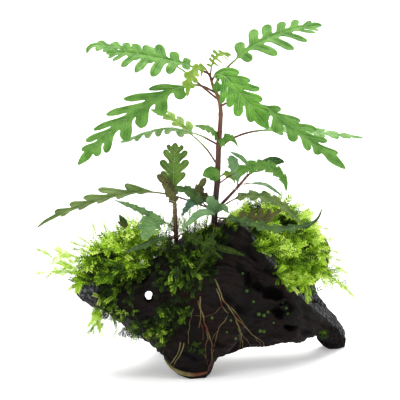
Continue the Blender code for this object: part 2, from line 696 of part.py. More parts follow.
def leaf_blade(leaf, start, length):
    """The flat leaf along +X: a strip of three rows of points, with lobes drawn out of its sides."""
    stations, pairs = leaf_stations(leaf, start, length)
    last = len(stations) - 1
    bm = bmesh.new()
    halves = 2 if leaf["wide"] > FLAT_LEAF else 1
    bmesh.ops.create_grid(bm, x_segments=last, y_segments=halves, size=0.5)
    at = {}
    for vert in bm.verts:
        i, side = round((vert.co.x + 0.5) * last), round(vert.co.y * 2)
        at[i, side] = vert
        vert.co = (stations[i][0], side * stations[i][1], 0)
    lobes = leaf["lobes"]
    for k, i in enumerate(pairs):
        share = (k + 0.6) / lobes
        reach = leaf["wide"] * (0.55 + 0.45 * math.sin(math.pi * min(1, share) ** 0.8))
        reach *= 1 - 0.25 * share**3
        for side in (-1, 1):
            base = at[i, side], at[i + 1, side]
            middle = (base[0].co + base[1].co) / 2
            half = (base[1].co.x - base[0].co.x) / 2
            edge = bm.edges.get(base)
            for part, breadth in LOBE_STEPS if leaf["wide"] > SMALL_LEAF else LOBE_STEPS[1:]:
                out = (reach - middle.y * side) * part
                centre = middle + Vector((out / math.tan(LOBE_SWEEP), side * out, 0))
                grown_edge = bmesh.ops.extrude_edge_only(bm, edges=[edge])["geom"]
                edge = next(item for item in grown_edge if isinstance(item, bmesh.types.BMEdge))
                low, high = sorted(edge.verts, key=lambda vert: vert.co.x)
                low.co = centre + Vector((-half * breadth, side * out * -0.04, 0))
                high.co = centre + Vector((half * breadth, side * out * -0.12, 0))
    for vert in bm.verts:
        vert.co.z = abs(vert.co.y) * math.tan(math.radians(leaf["fold"]))
    bmesh.ops.scale(bm, vec=(MM, MM, MM), verts=bm.verts)
    mesh = bpy.data.meshes.new("blade")
    bm.to_mesh(mesh)
    bm.free()
    return mesh


def clear_start(points, carriers):
    """How far along a route its stalk gets clear of the pieces that carry it."""
    travelled = 0.0
    start = 0.0
    for point, following in zip(points, points[1:]):
        probe = (following - point) / PROBES
        for i in range(PROBES):
            place = point + probe * i
            for tree in carriers:
                nearest, normal, _, distance = tree.find_nearest(place)
                inside = (place - nearest).dot(normal) < -0.5 * distance
                if travelled < STALK_REACH * MM and (inside or distance < STALK_CLEAR * MM):
                    start = travelled + probe.length
            travelled += probe.length
    return start


def make_leaf(name, leaf, carriers):
    points = smooth_route([seen(*point) for point in leaf["route"]], LEAF_STEP * MM)
    length = sum((end - start).length for start, end in zip(points, points[1:]))
    tilts = [face_tilt((after - before).normalized(), leaf["face"])
             for before, after in zip([points[0], *points[:-1]], [*points[1:], points[-1]])]
    for i in range(1, len(tilts)):
        tilts[i] += math.tau * round((tilts[i - 1] - tilts[i]) / math.tau)
    guide = add_guide(name + "_guide", poly_curve(name + "_guide", points, tilts=tilts))
    start = clear_start(points, carriers)
    obj = add_piece(name, leaf_blade(leaf, start / MM, length / MM), leaf["kind"])
    bend = obj.modifiers.new("bend", "CURVE")
    bend.object = guide
    bend.deform_axis = "POS_X"
    thick = obj.modifiers.new("thick", "SOLIDIFY")
    thick.thickness = LEAF_THICK * MM
    thick.offset = 0
    return obj


def pushed_clear(point, trees, distance):
    """The point, moved out until it is a distance from every surface."""
    for _ in range(PUSH_TIMES):
        found = [tree.find_nearest(point) for tree in trees]
        nearest, normal, _, gap = min(found, key=lambda hit: hit[3])
        outside = (point - nearest).dot(normal) > -0.5 * gap
        if outside and gap >= distance:
            break
        away = (point - nearest).normalized() if outside and gap > distance / 2 else normal
        point = nearest + away * (distance + 0.05 * MM)
    return point


def make_roots(surfaces, wood_cutter):
    """Tubes that follow the front of the wood and the moss, a little clear of both."""
    trees = [BVHTree.FromObject(obj, bpy.context.evaluated_depsgraph_get()) for obj in surfaces]
    for name, (radius, places) in ROOTS.items():
        clear = (radius + ROOT_CLEAR) * MM
        points = [seen_on(trees, *place)[0] for place in smooth_route(places, ROOT_STEP)]
        points = [pushed_clear(point, trees, clear) for point in points]
        inner = [(a + 2 * b + c) / 4 for a, b, c in zip(points, points[1:], points[2:])]
        points = [pushed_clear(point, trees, clear) for point in (points[0], *inner, points[-1])]
        root = add_guide(name, tube(name, points, [radius] * len(points), sides=1))
        boolean(root, wood_cutter)
        mesh = edit(finished_mesh(root), keep_largest)
        add_piece(name, mesh, "root").data.shade_smooth()


def main():
    clear_scene()
    wood_mesh = make_wood()
    wood = add_guide("whole_wood", wood_mesh)
    wood_cutter = grown(wood_mesh, GAP)
    split_wood(wood_mesh)
    stem_cutters = make_stems(wood_cutter)
    moss = make_moss(wood, [wood_cutter, peephole(PEEPHOLE_RADIUS + 0.5), *stem_cutters])
    stems = [bpy.data.objects[name] for name in STEMS]
    graph = bpy.context.evaluated_depsgraph_get()
    carriers = [BVHTree.FromObject(obj, graph) for obj in [wood, *stems, *moss]]
    for name, leaf in LEAVES.items():
        make_leaf(name, leaf, carriers)
    make_roots([wood, *moss], wood_cutter)


main()
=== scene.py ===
import math

import bmesh
import bpy
import numpy as np
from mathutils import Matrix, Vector, noise
from mathutils.bvhtree import BVHTree


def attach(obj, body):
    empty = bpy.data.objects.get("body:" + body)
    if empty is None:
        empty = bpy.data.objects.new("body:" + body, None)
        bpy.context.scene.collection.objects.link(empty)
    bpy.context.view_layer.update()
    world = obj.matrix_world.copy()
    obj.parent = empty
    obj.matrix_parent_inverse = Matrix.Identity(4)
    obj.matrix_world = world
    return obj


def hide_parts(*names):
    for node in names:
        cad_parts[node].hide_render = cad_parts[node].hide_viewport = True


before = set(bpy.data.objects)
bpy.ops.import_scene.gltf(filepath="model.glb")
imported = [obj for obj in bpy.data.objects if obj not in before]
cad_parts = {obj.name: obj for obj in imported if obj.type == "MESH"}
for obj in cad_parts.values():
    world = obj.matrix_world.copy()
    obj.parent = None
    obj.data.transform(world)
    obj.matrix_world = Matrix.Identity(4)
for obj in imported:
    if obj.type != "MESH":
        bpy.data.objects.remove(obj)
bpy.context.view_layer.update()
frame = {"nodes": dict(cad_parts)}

nodes = frame["nodes"]
mm = 0.001

# The plant is drawn on a front view that looks down by this much: (across, up, depth) in millimetres
drawing = {"tilt": math.radians(13), "footDepth": -42, "middleAcross": 0.3, "middleDepth": -1.0}


def drawn(across, up, depth):
    sink = (depth - drawing["footDepth"]) * math.sin(drawing["tilt"])
    height = (up - sink) / math.cos(drawing["tilt"])
    return Vector((across - drawing["middleAcross"], depth - drawing["middleDepth"], height)) * mm


# ---- camera, light and floor

view = {"distance": 6.0, "lens": 720, "lookAt": (0, 132, 0), "ambient": 0.42}
lamps = {
    "sky": {"place": (0.0, 0.35, 1.5), "size": 1.6, "power": 30, "colour": (1, 1, 1)},
    "back": {"place": (0.5, 1.1, 0.9), "size": 0.9, "power": 12, "colour": (1, 1, 0.97)},
    "front": {"place": (-0.5, -1.6, 0.9), "size": 1.2, "power": 6, "colour": (1, 1, 1)},
}


def buildStudio():
    target = drawn(*view["lookAt"])
    away = Vector((0, -math.cos(drawing["tilt"]), math.sin(drawing["tilt"])))
    bpy.ops.object.camera_add(location=target + away * view["distance"])
    camera = bpy.context.object
    camera.rotation_euler = (-away).to_track_quat("-Z", "Y").to_euler()
    camera.data.lens = view["lens"]
    camera.data.clip_start = 0.1
    bpy.context.scene.camera = camera
    for name, lamp in lamps.items():
        bpy.ops.object.light_add(type="AREA", location=lamp["place"])
        light = bpy.context.object
        light.name = name
        light.rotation_euler = (Vector((0, 0, 0.1)) - light.location).to_track_quat("-Z", "Y").to_euler()
        light.data.size = lamp["size"]
        light.data.energy = lamp["power"]
        light.data.color = lamp["colour"]
        light.visible_camera = False
    world = bpy.data.worlds.new("whiteRoom")
    world.use_nodes = True
    tree = world.node_tree
    tree.nodes["Background"].inputs["Color"].default_value = (1, 1, 1, 1)
    rays = tree.nodes.new("ShaderNodeLightPath")
    strength = tree.nodes.new("ShaderNodeMapRange")    # white behind, softer as a light
    strength.inputs["To Min"].default_value = view["ambient"]
    tree.links.new(rays.outputs["Is Camera Ray"], strength.inputs["Value"])
    tree.links.new(strength.outputs[0], tree.nodes["Background"].inputs["Strength"])
    bpy.context.scene.world = world
    bpy.context.scene.view_settings.view_transform = "Standard"
    bpy.ops.mesh.primitive_plane_add(size=12, location=(0, 0, 0))
    floor = bpy.context.object
    floor.name = "floor"
    paint = Finish("whiteFloor", roughness=0.9)
    paint.give("Base Color", (0.95, 0.95, 0.95, 1))
    paint.give("Emission Color", (1, 1, 1, 1))
    paint.give("Emission Strength", 0.3)
    floor.data.materials.append(paint.material)


# One output of a shader node: sums on it add Math nodes
class Wire:
    def __init__(self, finish, socket):
        self.finish = finish
        self.socket = socket

    def maths(self, operation, first, second):
        return self.finish.node("ShaderNodeMath", {"operation": operation}, {0: first, 1: second})

    def __add__(self, other):
        return self.maths("ADD", self, other)

    def __radd__(self, other):
        return self.maths("ADD", other, self)

    def __sub__(self, other):
        return self.maths("SUBTRACT", self, other)

    def __rsub__(self, other):
        return self.maths("SUBTRACT", other, self)

    def __mul__(self, other):
        return self.maths("MULTIPLY", self, other)

    def __rmul__(self, other):
        return self.maths("MULTIPLY", other, self)

    def __truediv__(self, other):
        return self.maths("DIVIDE", self, other)

    def __pow__(self, other):
        return self.maths("POWER", self, other)


# One material, its nodes and its Principled shader
class Finish:
    def __init__(self, name, roughness=0.5, specular=0.5):
        self.material = bpy.data.materials.new(name)
        self.material.use_nodes = True
        self.tree = self.material.node_tree
        self.shader = self.tree.nodes["Principled BSDF"]
        self.shader.inputs["Roughness"].default_value = roughness
        self.shader.inputs["Specular IOR Level"].default_value = specular

    def node(self, kind, settings, inputs, output=0):
        made = self.tree.nodes.new(kind)
        for name, value in settings.items():
            if name == "stops":
                ramp = made.color_ramp
                while len(ramp.elements) < len(value):
                    ramp.elements.new(1)
                for element, (place, colour) in zip(ramp.elements, value):
                    element.position = place
                    element.color = (*colour, 1)
            else:
                setattr(made, name, value)
        for name, value in inputs.items():
            if isinstance(value, Wire):
                self.tree.links.new(value.socket, made.inputs[name])
            else:
                made.inputs[name].default_value = value
        return Wire(self, made.outputs[output])

    def give(self, name, value):
        if isinstance(value, Wire):
            self.tree.links.new(value.socket, self.shader.inputs[name])
        else:
            self.shader.inputs[name].default_value = value

    def place(self):
        return self.node("ShaderNodeTexCoord", {}, {}, "Object")

    def read(self, attribute, output="Fac"):
        return self.node("ShaderNodeAttribute", {"attribute_name": attribute}, {}, output)

    def ramp(self, value, stops):
        return self.node("ShaderNodeValToRGB", {"stops": stops}, {"Fac": value})

    def between(self, value, low, high):
        settings = {"interpolation_type": "SMOOTHSTEP"}
        return self.node("ShaderNodeMapRange", settings, {"Value": value, "From Min": low, "From Max": high})

    def mix(self, share, first, second, blend="MIX"):
        settings = {"data_type": "RGBA", "blend_type": blend}
        inputs = {0: share, 6: first, 7: second}
        return self.node("ShaderNodeMix", settings, inputs, 2)

    def cloud(self, vector, scale, detail=2.0, roughness=0.5):
        inputs = {"Vector": vector, "Scale": scale, "Detail": detail, "Roughness": roughness}
        return self.node("ShaderNodeTexNoise", {}, inputs, "Fac")

    def bump(self, height, distance, strength=1.0, under=None):
        inputs = {"Height": height, "Distance": distance, "Strength": strength}
        if under:
            inputs["Normal"] = under
        return self.node("ShaderNodeBump", {}, inputs)


# ---- small modelling helpers

def deselect():
    if bpy.context.object and bpy.context.object.mode != "OBJECT":
        bpy.ops.object.mode_set(mode="OBJECT")
    bpy.ops.object.select_all(action="DESELECT")


def pick(obj):
    deselect()
    obj.select_set(True)
    bpy.context.view_layer.objects.active = obj


def applyAll(obj):
    pick(obj)
    for modifier in list(obj.modifiers):
        bpy.ops.object.modifier_apply(modifier=modifier.name)


def joined(name, pieces):
    deselect()
    for piece in pieces:
        piece.select_set(True)
    bpy.context.view_layer.objects.active = pieces[0]
    if len(pieces) > 1:
        bpy.ops.object.join()
    pieces[0].name = name
    pieces[0].data.name = name
    return pieces[0]


def copyOfNode(name):
    copy = bpy.data.objects.new(name + "_copy", nodes[name].data.copy())
    bpy.context.scene.collection.objects.link(copy)
    pick(copy)
    bpy.ops.object.mode_set(mode="EDIT")
    bpy.ops.mesh.select_all(action="SELECT")
    bpy.ops.mesh.remove_doubles(threshold=0.00002)
    bpy.ops.object.mode_set(mode="OBJECT")
    return copy


def points(obj):
    found = np.empty(len(obj.data.vertices) * 3)
    obj.data.vertices.foreach_get("co", found)
    return found.reshape(-1, 3)


def setPoints(obj, places):
    obj.data.vertices.foreach_set("co", np.asarray(places, dtype=np.float32).ravel())
    obj.data.update()


def setValues(obj, name, values):
    attribute = obj.data.attributes.get(name) or obj.data.attributes.new(name, "FLOAT", "POINT")
    attribute.data.foreach_set("value", np.asarray(values, dtype=np.float32))


def getValues(obj, name):
    values = np.empty(len(obj.data.vertices), dtype=np.float32)
    obj.data.attributes[name].data.foreach_get("value", values)
    return values


def setVectors(obj, name, values):
    attribute = obj.data.attributes.get(name) or obj.data.attributes.new(name, "FLOAT_VECTOR", "POINT")
    attribute.data.foreach_set("vector", np.asarray(values, dtype=np.float32).ravel())


def finishPiece(obj, finish, slot, *replaced):
    obj.data.materials.clear()
    obj.data.materials.append(finish.material)
    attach(obj, "root")
    if replaced:
        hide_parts(*replaced)


# Points about one step apart on a smooth curve through the given ones
def smoothRoute(places, step):
    places = [Vector(place) for place in places]
    ends = [2 * places[0] - places[1], *places, 2 * places[-1] - places[-2]]
    route = []
    for before, start, end, after in zip(ends, ends[1:], ends[2:], ends[3:]):
        count = max(1, round((end - start).length / step))
        for i in range(count):
            t = i / count
            bow = 2 * before - 5 * start + 4 * end - after
            twist = 3 * start - before - 3 * end + after
            route.append(0.5 * (2 * start + (end - before) * t + bow * t**2 + twist * t**3))
    return [*route, places[-1]]


def routeLength(route):
    return sum((end - start).length for start, end in zip(route, route[1:]))


def guideCurve(name, route, radii=None, tilts=None):
    curve = bpy.data.curves.new(name, "CURVE")
    curve.dimensions = "3D"
    curve.twist_mode = "Z_UP" if tilts else "MINIMUM"
    spline = curve.splines.new("POLY")
    spline.points.add(len(route) - 1)
    for i, place in enumerate(route):
        spline.points[i].co = (*place, 1)
        spline.points[i].radius = radii[i] if radii else 1
        spline.points[i].tilt = tilts[i] if tilts else 0
    guide = bpy.data.objects.new(name, curve)
    bpy.context.scene.collection.objects.link(guide)
    return guide


# A closed round tube with its own thickness at each point of the route
def tube(name, route, radii, fineness=2):
    guide = guideCurve(name, route, radii)
    guide.data.bevel_depth = 1
    guide.data.bevel_resolution = fineness
    guide.data.use_fill_caps = True
    pick(guide)
    bpy.ops.object.convert(target="MESH")
    made = bpy.context.object
    bpy.ops.object.mode_set(mode="EDIT")
    bpy.ops.mesh.select_all(action="SELECT")
    bpy.ops.mesh.remove_doubles(threshold=0.00001)
    bpy.ops.mesh.normals_make_consistent(inside=False)
    bpy.ops.object.mode_set(mode="OBJECT")
    bpy.ops.object.shade_smooth()
    return made


# ---- driftwood

wood = {
    "voxel": 0.00115,
    "grainFrom": (126, 18, 46),     # the grain fans out from beyond the right tip
    "coarse": (21, 0.0019),         # furrows across the fan, and their height
    "fine": (58, 0.0008),
    "lumps": (30, 0.0017),
    "ridge": [(26, 117.5), (35, 105), (43.5, 93), (51, 81), (61.5, 70), (76, 57), (89, 45), (103, 33)],
    "ridgeHeight": 0.0024, "ridgeReach": 5.5,
    # hollows in the front: across, up, half length, half breadth, turn in degrees, depth
    "hollows": [(52.5, 79, 6, 4.5, -35, 3.5), (44, 67, 7, 3.5, -30, 4), (56, 62, 9, 4.5, -28, 5),
                (66, 52, 7, 3.6, -20, 4.5), (58, 47, 5, 3, -25, 3.5), (67, 37, 5.5, 2.6, -12, 4),
                (88, 55.5, 3, 2, -40, 2.5), (33, 78, 10, 3, -52, 3.5), (24, 96, 10, 2.6, -50, 3),
                (38, 92, 9, 2, -50, 2.2), (20, 60, 7, 2.6, -40, 2.5), (30, 50, 6, 2.5, -35, 2.5),
                (80, 33, 6, 2.2, -10, 2.2), (8, 84, 7, 3, -60, 3), (-8, 16, 7, 2.2, -20, 1.8),
                (-34, 40, 9, 2.4, -42, 2.4), (14, 24, 6, 2.2, -30, 2)],
    "peephole": (-38.6, 61),
    # how far the right end reaches across, by how far up
    "rightEnd": [(15, 112.5), (25, 112), (31.5, 109), (43.5, 101), (51, 95), (58.5, 86.5), (70, 78)],
    # how much the bottom rises along each foot, by the place across
    "footRise": [(-32, 11), (-24, 6.5), (-15, 2.2), (-7, 0), (4, 0), (10, 3), (18, 8), (30, 11), (84, 11),
                 (89, 6.5), (93, 2.5), (98, 0), (120, 0)],
    "dark": (0.0045, 0.0038, 0.0036),
    "brown": (0.024, 0.009, 0.006),
    # shadow and grey are the crackled colours of the painted sheen
    "shadow": (0.022, 0.023, 0.026),
    "grey": (0.19, 0.195, 0.21),
}


# How far drawn places are from a drawn line: beside it, positive to its upper right
def besideLine(spots, line):
    nearest = np.full(len(spots), 1e6)
    beside = np.zeros(len(spots))
    for start, end in zip(line, line[1:]):
        start, run = np.array(start), np.subtract(end, start)
        off = spots - start
        share = np.clip(off @ run / (run @ run), 0, 1)
        gap = np.linalg.norm(off - share[:, None] * run, axis=1)
        side = np.sign(off[:, 1] * run[0] - off[:, 0] * run[1])
        closer = gap < nearest
        nearest[closer] = gap[closer]
        beside[closer] = (gap * side)[closer]
    return beside


# Where places are on the drawn front view, in millimetres
def drawnSpots(places):
    x, y, z = (places - np.array(drawn(0, 0, 0))).T
    return np.stack((x, z * math.cos(drawing["tilt"]) + y * math.sin(drawing["tilt"])), axis=1) / mm


def carveWood(piece):
    places = points(piece)
    normals = np.empty(len(places) * 3)
    piece.data.vertices.foreach_get("normal", normals)
    normals = normals.reshape(-1, 3)
    spots = drawnSpots(places)
    front = np.clip(-normals[:, 1] * 2.5 + 0.4, 0, 1)
    beside = besideLine(spots, wood["ridge"])
    crest = np.clip(1 - np.abs(beside) / wood["ridgeReach"], 0, 1)
    crest *= np.clip(front + np.clip(normals[:, 2], 0, 1), 0, 1)
    wobble = np.array([noise.noise_vector(Vector(place) * 120) for place in places])
    hollow = np.zeros(len(places))
    sink = np.zeros(len(places))
    for across, up, long, broad, turn, depth in wood["hollows"]:
        off = spots - (across, up) + wobble[:, :2] * 2.6
        c, s = math.cos(math.radians(turn)), math.sin(math.radians(turn))
        far = np.hypot((off[:, 0] * c + off[:, 1] * s) / long, (off[:, 1] * c - off[:, 0] * s) / broad)
        bowl = np.clip(1 - far**2, 0, 1) ** 0.7 * front
        hollow = np.maximum(hollow, bowl)
        sink = np.maximum(sink, bowl * depth * mm)
    centre = drawn(*wood["grainFrom"])
    furrows, lift = np.zeros(len(places)), np.zeros(len(places))
    for i, place in enumerate(places):
        spot = Vector(place)
        away = spot - centre
        fan = away.normalized() + noise.noise_vector(spot * 25) * 0.09
        along = away.length * 9
        coarse = noise.noise(fan * wood["coarse"][0] + Vector((along, 0, 0)))
        fine = noise.noise(fan * wood["fine"][0] + Vector((along * 1.7, 5, 0)))
        lump = noise.noise(spot * wood["lumps"][0] + Vector((7, 0, 0)))
        furrows[i] = (1 - abs(coarse) * 2.2) * 0.6 + fine * 0.4
        lift[i] = (0.4 - abs(coarse) * 1.6) * wood["coarse"][1] + fine * wood["fine"][1] + lump * wood["lumps"][1]
    low = np.clip(places[:, 2] / 0.004, 0, 1)    # the feet stay flat
    foot = (places[:, 1] < -0.012) | (spots[:, 0] > 80)
    rise = np.interp(spots[:, 0], *zip(*wood["footRise"])) * mm * np.clip(1 - places[:, 2] / 0.018, 0, 1) * foot
    places[:, 2] += rise
    off = spots - wood["peephole"]
    far = np.hypot(off[:, 0], off[:, 1])
    angle = np.arctan2(off[:, 1], off[:, 0])
    push = np.clip(1 - far / 9, 0, 1) * (1.5 + 0.7 * np.sin(2 * angle - 1.2) + 0.5 * np.sin(3 * angle)) * mm
    places[:, 0] += push * off[:, 0] / np.maximum(far, 0.5)
    places[:, 2] += push * off[:, 1] / np.maximum(far, 0.5)
    past = np.clip(spots[:, 0] - np.interp(spots[:, 1], *zip(*wood["rightEnd"])), 0, None)
    places[:, 0] -= np.where(places[:, 1] < 0.03, past * 0.85, 0) * mm
    places += normals * (lift * low - sink + crest * wood["ridgeHeight"])[:, None]
    places[:, 2] = np.maximum(places[:, 2], 0)
    setPoints(piece, places)
    setValues(piece, "furrow", furrows)
    setValues(piece, "hollow", hollow)
    # painted sheen: marks the lit strip right of the ridge, with the left arm's end, to be greyed in the colour
    beyond = np.clip(beside / 2 + 0.2, 0, 1) * np.clip((spots[:, 0] - 22) / 6, 0, 1)
    leftEnd = np.clip((-72 - spots[:, 0]) / 6, 0, 1)
    setValues(piece, "weathered", 1.2 * np.maximum(beyond, leftEnd))


def buildWood():
    arm = copyOfNode("driftwood_left_arm")
    trunk = copyOfNode("driftwood_trunk")
    places = points(arm)
    fork = places[:, 0].max()
    places[places[:, 0] > fork - 0.0001, 0] += 0.0012
    setPoints(arm, places)
    piece = joined("driftwood", [trunk, arm])
    piece.data.remesh_voxel_size = wood["voxel"]
    bpy.ops.object.voxel_remesh()
    relax = piece.modifiers.new("relax", "SMOOTH")
    relax.iterations = 3
    applyAll(piece)
    bpy.ops.object.mode_set(mode="EDIT")
    bpy.ops.mesh.select_all(action="SELECT")
    bpy.ops.mesh.normals_make_consistent(inside=False)
    bpy.ops.object.mode_set(mode="OBJECT")
    carveWood(piece)
    bpy.ops.object.shade_smooth()

    finish = Finish("soakedDriftwood", roughness=0.5, specular=0.14)
    spot = finish.place()
    centre = tuple(drawn(*wood["grainFrom"]))
    away = finish.node("ShaderNodeVectorMath", {"operation": "SUBTRACT"}, {0: spot, 1: centre}, "Vector")
    heading = finish.node("ShaderNodeVectorMath", {"operation": "NORMALIZE"}, {0: away}, "Vector")
    swirl = finish.node("ShaderNodeTexNoise", {}, {"Vector": spot, "Scale": 22.0, "Detail": 1.0}, "Color")
    fan = finish.node("ShaderNodeMix", {"data_type": "VECTOR"}, {0: 0.12, 4: heading, 5: swirl}, 1)
    fibre = finish.cloud(fan, 110.0, 4.0, 0.7)
    hair = finish.cloud(fan, 300.0, 3.0, 0.7)
    patch = finish.cloud(spot, 30.0, 2.0)
    furrow, hollow, weathered = finish.read("furrow"), finish.read("hollow"), finish.read("weathered")
    facing = finish.node("ShaderNodeNewGeometry", {}, {}, "Normal")
    upward = finish.node("ShaderNodeSeparateXYZ", {}, {0: facing}, 2)
    # painted sheen: upward faces and the marked strip turn grey, broken up by the grain
    lit = finish.between(upward * 0.5 + (fibre - 0.5) * 1.4 + (hair - 0.5) * 0.8 + weathered * 0.95, 0.62, 1.25)
    brownness = finish.between(hair * 0.7 + fibre * 0.3 + patch * 0.3, 0.62, 0.80)
    colour = finish.mix(brownness, (*wood["dark"], 1), (*wood["brown"], 1))
    crackle = finish.cloud(spot, 420.0, 3.0, 0.7)
    grey = finish.mix(finish.between(crackle, 0.42, 0.60), (*wood["shadow"], 1), (*wood["grey"], 1))
    colour = finish.mix(lit, colour, grey)
    # painted shade: the hollows are darkened almost to black
    colour = finish.mix(finish.between(hollow, 0.05, 0.6) * 0.9, colour, (0.0015, 0.0012, 0.0012, 1))
    finish.give("Base Color", colour)
    finish.give("Roughness", 0.40 + 0.35 * hair)
    height = fibre * 0.7 + hair * 0.6 + furrow * 0.3 + crackle * lit * 0.6
    finish.give("Normal", finish.bump(height, 0.0018, 1.0))
    finishPiece(piece, finish, "driftwood", "driftwood_trunk", "driftwood_left_arm")
    print("driftwood", len(piece.data.polygons))
    return piece


# ---- stems

stems = {
    "stem_main": [
        (10.0, 92.0, -7, 2.6), (10.5, 112.0, -6, 2.5), (11.5, 130.0, -4, 2.4), (13.0, 147.0, -2, 2.3),
        (14.0, 172.0, 0, 2.1), (15.5, 196.0, 0, 1.7), (14.0, 208.0, 0, 1.5), (10.5, 215.0, 0, 1.3),
        (8.3, 222.0, 0, 1.0), (7.4, 226.5, 0, 0.7)],
    "stem_second": [
        (-17.3, 95.0, -15, 1.7), (-17.9, 104.0, -16, 1.6), (-18.5, 118.0, -17, 1.6), (-19.2, 137.0, -18, 1.3),
        (-19.4, 141.0, -18, 1.0)],
    "stem_branch": [
        (12.4, 125.0, -4.4, 1.3), (22.0, 135.0, -6, 1.2), (28.5, 142.0, -7, 1.05), (35.0, 149.5, -7, 0.9),
        (39.5, 153.0, -7, 0.7), (45.0, 153.6, -7, 0.5)],
}
stemJoints = {"stem_main": (112, 130, 147, 172, 196, 208, 222), "stem_second": (104, 111, 118, 124, 128, 137),
              "stem_branch": (142, 148.5, 152.6)}
# Lowest and highest place of the change, and the colours up the stem
stemColours = {
    "stem_main": (0.112, 0.225, [(0.014, 0.005, 0.004), (0.10, 0.026, 0.015), (0.21, 0.062, 0.032),
                                 (0.27, 0.13, 0.050)]),
    "stem_second": (0.098, 0.140, [(0.045, 0.012, 0.009), (0.085, 0.022, 0.012), (0.17, 0.12, 0.030),
                                   (0.21, 0.22, 0.050)]),
    "stem_branch": (0.118, 0.156, [(0.050, 0.014, 0.010), (0.085, 0.022, 0.015), (0.15, 0.045, 0.028),
                                   (0.13, 0.075, 0.040)]),
}


def stemFinish(name):
    low, high, colours = stemColours[name]
    finish = Finish(name + "Bark", roughness=0.38)
    spot = finish.place()
    height = finish.node("ShaderNodeSeparateXYZ", {}, {0: spot}, 2)
    stretch = finish.node("ShaderNodeMapping", {}, {"Vector": spot, "Scale": (900, 900, 60)})
    streak = finish.cloud(stretch, 1.0, 2.0)
    share = finish.between(height + (streak - 0.5) * 0.02, low, high)
    colour = finish.ramp(share, list(zip((0, 0.25, 0.7, 1), colours)))
    finish.give("Base Color", finish.mix(streak * 0.4, colour, (*colours[0], 1)))
    finish.give("Normal", finish.bump(streak, 0.0002, 0.5))
    return finish


def buildStems():
    for name, stations in stems.items():
        route = smoothRoute([(*(drawn(*place) / mm), radius) for *place, radius in stations], 2.0)
        radii = []
        for value in route:
            up = value[2] * math.cos(drawing["tilt"]) + (value[1] - 1.0 + 42) * math.sin(drawing["tilt"])
            swell = max(math.exp(-((up - joint) / 1.5) ** 2) for joint in stemJoints[name])
            radii.append(value[3] * mm * (1 + 0.16 * swell))
        piece = tube(name + "_bark", [Vector(value[:3]) * mm for value in route], radii, 3)
        finishPiece(piece, stemFinish(name), "stem", name)
    print("stems")


# ---- leaves

leafColours = {
    "fresh": {"deep": (0.060, 0.21, 0.016), "light": (0.17, 0.40, 0.060), "vein": (0.38, 0.58, 0.22)},
    "bright": {"deep": (0.040, 0.19, 0.006), "light": (0.13, 0.38, 0.022), "vein": (0.52, 0.68, 0.28)},
    "pale": {"deep": (0.14, 0.28, 0.07), "light": (0.31, 0.48, 0.19), "vein": (0.36, 0.52, 0.26)},
    "lime": {"deep": (0.12, 0.27, 0.014), "light": (0.28, 0.46, 0.05), "vein": (0.34, 0.36, 0.09)},
    "young": {"deep": (0.17, 0.36, 0.022), "light": (0.37, 0.57, 0.09), "vein": (0.42, 0.45, 0.14)},
    "deep": {"deep": (0.040, 0.11, 0.006), "light": (0.13, 0.26, 0.025), "vein": (0.42, 0.52, 0.24)},
    "dark": {"deep": (0.020, 0.075, 0.012), "light": (0.075, 0.19, 0.035), "vein": (0.16, 0.28, 0.10)},
    "grass": {"deep": (0.055, 0.19, 0.016), "light": (0.17, 0.37, 0.055), "vein": (0.26, 0.44, 0.12)},
    "mint": {"deep": (0.10, 0.23, 0.075), "light": (0.21, 0.38, 0.15), "vein": (0.34, 0.50, 0.27)},
    "moor": {"deep": (0.020, 0.060, 0.010), "light": (0.085, 0.17, 0.035), "vein": (0.18, 0.28, 0.09)},
    "shaded": {"deep": (0.008, 0.022, 0.002), "light": (0.032, 0.065, 0.006), "vein": (0.12, 0.17, 0.04)},
    "maroon": {"deep": (0.045, 0.040, 0.010), "light": (0.13, 0.14, 0.035), "vein": (0.24, 0.24, 0.09)},
    "bluish": {"deep": (0.035, 0.11, 0.055), "light": (0.11, 0.25, 0.14), "vein": (0.22, 0.36, 0.22)},
    "matte": {"deep": (0.075, 0.19, 0.042), "light": (0.19, 0.35, 0.11), "vein": (0.38, 0.54, 0.28)},
    "olive": {"deep": (0.075, 0.14, 0.018), "light": (0.20, 0.30, 0.075), "vein": (0.30, 0.36, 0.15)},
    "bronze": {"deep": (0.040, 0.050, 0.010), "light": (0.14, 0.14, 0.035), "vein": (0.26, 0.22, 0.07)},
    "brown": {"deep": (0.040, 0.036, 0.010), "light": (0.14, 0.14, 0.04), "vein": (0.30, 0.29, 0.10)},
}
stalkColour = (0.13, 0.040, 0.024)
leafForm = {
    "sweep": 0.90, "core": 0.24, "thick": 0.5, "routeStep": 4, "puff": 0.45, "ripple": 0.5,
    "share": 0.40,                  # of the way to the next lobe that a lobe takes
    "rings": ((0.30, 0.98), (0.60, 1.14), (0.87, 0.92), (1.04, None)),      # how far out, and breadth
    "ends": 0.40,                   # breadth of the last ring
    "plain": (0, 0.07, 0.16, 0.27, 0.38, 0.5, 0.62, 0.73, 0.83, 0.92, 1),  # rows of an unlobed blade
    "tip": ((0.3, 1.0), (0.6, 0.82), (0.85, 0.5), (0.98, 0.14)),           # rows beyond the last lobe
}

